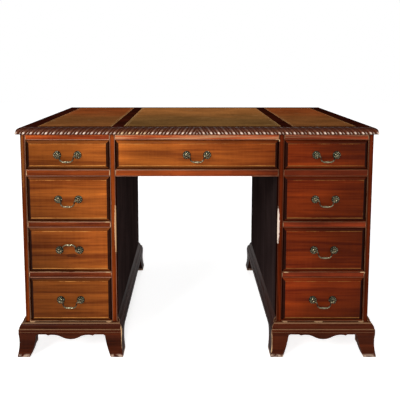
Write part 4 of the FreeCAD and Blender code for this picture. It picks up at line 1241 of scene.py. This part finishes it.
FLOOR_RADIUS = 9.0
FLOOR_GLOW = (0.9, 3.2, 0.74, 0.95)
LAMPS = {
    "key": ((1.1, 1.1), (-2.1, -2.4, 2.3), (0, 0, 0.5)),
    "flash": ((0.25, 0.25), (-0.2, -1.95, 1.14), (0, 0, 0.5)),
    "fill": ((2.2, 1.6), (2.0, -2.9, 1.2), (0, 0, 0.45)),
    "overhead": ((2.4, 1.4), (0, -0.4, 2.9), (0, 0, 0.7)),
    "rear": ((2.4, 1.8), (0.4, 3.2, 1.9), (0, 0, 0.4)),
}


def lamp(name, watts, size, place, target):
    data = bpy.data.lights.new(name, "AREA")
    data.shape = "RECTANGLE"
    data.size, data.size_y = size
    data.energy = watts
    made = bpy.data.objects.new(name, data)
    made.location = place
    made.rotation_euler = (Vector(target) - Vector(place)).to_track_quat("-Z", "Y").to_euler()
    bpy.context.scene.collection.objects.link(made)


def seen_directly(net, behind):
    """1 for rays from the camera or through glass, and for mirrored rays that meet the backdrop behind."""
    path = net.add("ShaderNodeLightPath").outputs
    rays = {kind: Term(net, path[f"Is {kind} Ray"]) for kind in ("Camera", "Transmission", "Glossy")}
    straight = net.math("MAXIMUM", rays["Camera"], rays["Transmission"])
    return net.math("MAXIMUM", straight, rays["Glossy"] * behind)


def lay_floor(scene):
    bm = bmesh.new()
    bmesh.ops.create_circle(bm, cap_ends=True, segments=96, radius=FLOOR_RADIUS)
    mesh = mesh_of(bm, "floor")
    floor = bpy.data.objects.new("floor", mesh)
    scene.collection.objects.link(floor)
    net, shader, place = new_material("studio_floor")
    mottle = net.ramp(net.noise(place, 3, 3), 0.3, 0.7, 0.97, 1.0)
    net.fill(shader["Base Color"], net.mix(mottle, (0, 0, 0), scene.desk_colours.floor))
    shader["Roughness"].default_value = 1.0
    shader["Specular IOR Level"].default_value = 0.0
    shader["Emission Color"].default_value = (1, 1, 1, 1)
    glow = net.ramp(net.vector_math("LENGTH", place, output="Value"), *FLOOR_GLOW)
    seen = seen_directly(net, net.ramp(net.parts(place)[1], 0.0, 1.5))
    net.fill(shader["Emission Strength"], seen * glow)
    mesh.materials.append(bpy.data.materials["studio_floor"])


def set_stage(scene):
    stage = scene.desk_stage
    scene.view_settings.view_transform = "Standard"
    camera = bpy.data.objects.new("camera", bpy.data.cameras.new("camera"))
    scene.collection.objects.link(camera)
    scene.camera = camera
    camera.location = stage.eye
    camera.rotation_euler = (math.pi / 2 - stage.pitch, 0, 0)
    camera.data.lens = stage.lens
    camera.data.shift_x, camera.data.shift_y = stage.slide, stage.rise
    lay_floor(scene)
    for name, (size, place, target) in LAMPS.items():
        lamp(name, getattr(stage, name), size, place, target)
    world = bpy.data.worlds.new("studio")
    world.use_nodes = True
    scene.world = world
    net = Net(world.node_tree)
    heading = net.parts(net.node("ShaderNodeTexCoord", output="Generated"))[1]
    backdrop = world.node_tree.nodes["Background"].inputs
    backdrop["Color"].default_value = (1, 1, 1, 1)
    net.fill(backdrop["Strength"],
             net.ramp(seen_directly(net, net.ramp(heading, 0.0, 0.4)), 0, 1, stage.ambient, 1.0))


# Operators

class DESK_OT_finishes(bpy.types.Operator):
    """Mixes the woods, leather, brass and steel"""
    bl_idname = "desk.finishes"
    bl_label = "Mix finishes"

    def execute(self, context):
        mix_finishes(context.scene)
        return {"FINISHED"}


class DESK_OT_carcass(bpy.types.Operator):
    """Finishes the boards, rails, beads and inner strips of the carcass"""
    bl_idname = "desk.carcass"
    bl_label = "Make carcass"

    def execute(self, context):
        make_carcass(context.scene)
        return {"FINISHED"}


class DESK_OT_plinths(bpy.types.Operator):
    """Finishes the bracket-footed plinths and their mouldings"""
    bl_idname = "desk.plinths"
    bl_label = "Make plinths"

    def execute(self, context):
        make_plinths(context.scene)
        return {"FINISHED"}


class DESK_OT_top(bpy.types.Operator):
    """Lays the crossbanding and the tooled leather"""
    bl_idname = "desk.top"
    bl_label = "Lay top"

    def execute(self, context):
        make_top(context.scene)
        return {"FINISHED"}


class DESK_OT_carving(bpy.types.Operator):
    """Carves the gadrooned edge of the top"""
    bl_idname = "desk.carving"
    bl_label = "Carve edge"

    def execute(self, context):
        carve_edges(context.scene)
        return {"FINISHED"}


class DESK_OT_drawers(bpy.types.Operator):
    """Finishes the nine drawer fronts and boxes"""
    bl_idname = "desk.drawers"
    bl_label = "Make drawers"

    def execute(self, context):
        make_drawers(context.scene)
        return {"FINISHED"}


class DESK_OT_handles(bpy.types.Operator):
    """Makes the petalled rosettes with their posts and nuts"""
    bl_idname = "desk.handles"
    bl_label = "Make handles"

    def execute(self, context):
        make_handles(context.scene)
        return {"FINISHED"}


class DESK_OT_bails(bpy.types.Operator):
    """Makes the swan-neck bails"""
    bl_idname = "desk.bails"
    bl_label = "Make bails"

    def execute(self, context):
        make_bails(context.scene)
        return {"FINISHED"}


class DESK_OT_stage(bpy.types.Operator):
    """Sets the floor, lamps and camera"""
    bl_idname = "desk.stage"
    bl_label = "Set stage"

    def execute(self, context):
        set_stage(context.scene)
        return {"FINISHED"}


STEPS = (DESK_OT_finishes, DESK_OT_carcass, DESK_OT_plinths, DESK_OT_top, DESK_OT_carving, DESK_OT_drawers,
         DESK_OT_handles, DESK_OT_bails, DESK_OT_stage)


class DESK_PT_panel(bpy.types.Panel):
    """Lists the steps that build the desk"""
    bl_label = "Pedestal desk"
    bl_space_type = "VIEW_3D"
    bl_region_type = "UI"
    bl_category = "Desk"

    def draw(self, context):
        for step in STEPS:
            self.layout.operator(step.bl_idname)


GROUPS = {"desk_colours": DeskColours, "desk_sizes": DeskSizes, "desk_stage": DeskStage}


def register():
    for cls in (*GROUPS.values(), *STEPS, DESK_PT_panel):
        bpy.utils.register_class(cls)
    for name, cls in GROUPS.items():
        setattr(bpy.types.Scene, name, PointerProperty(type=cls))


def unregister():
    for name in GROUPS:
        delattr(bpy.types.Scene, name)
    for cls in (DESK_PT_panel, *reversed(STEPS), *GROUPS.values()):
        bpy.utils.unregister_class(cls)


def main():
    register()
    for step in STEPS:
        family, name = step.bl_idname.split(".")
        getattr(getattr(bpy.ops, family), name)()


if __name__ == "__main__":
    main()
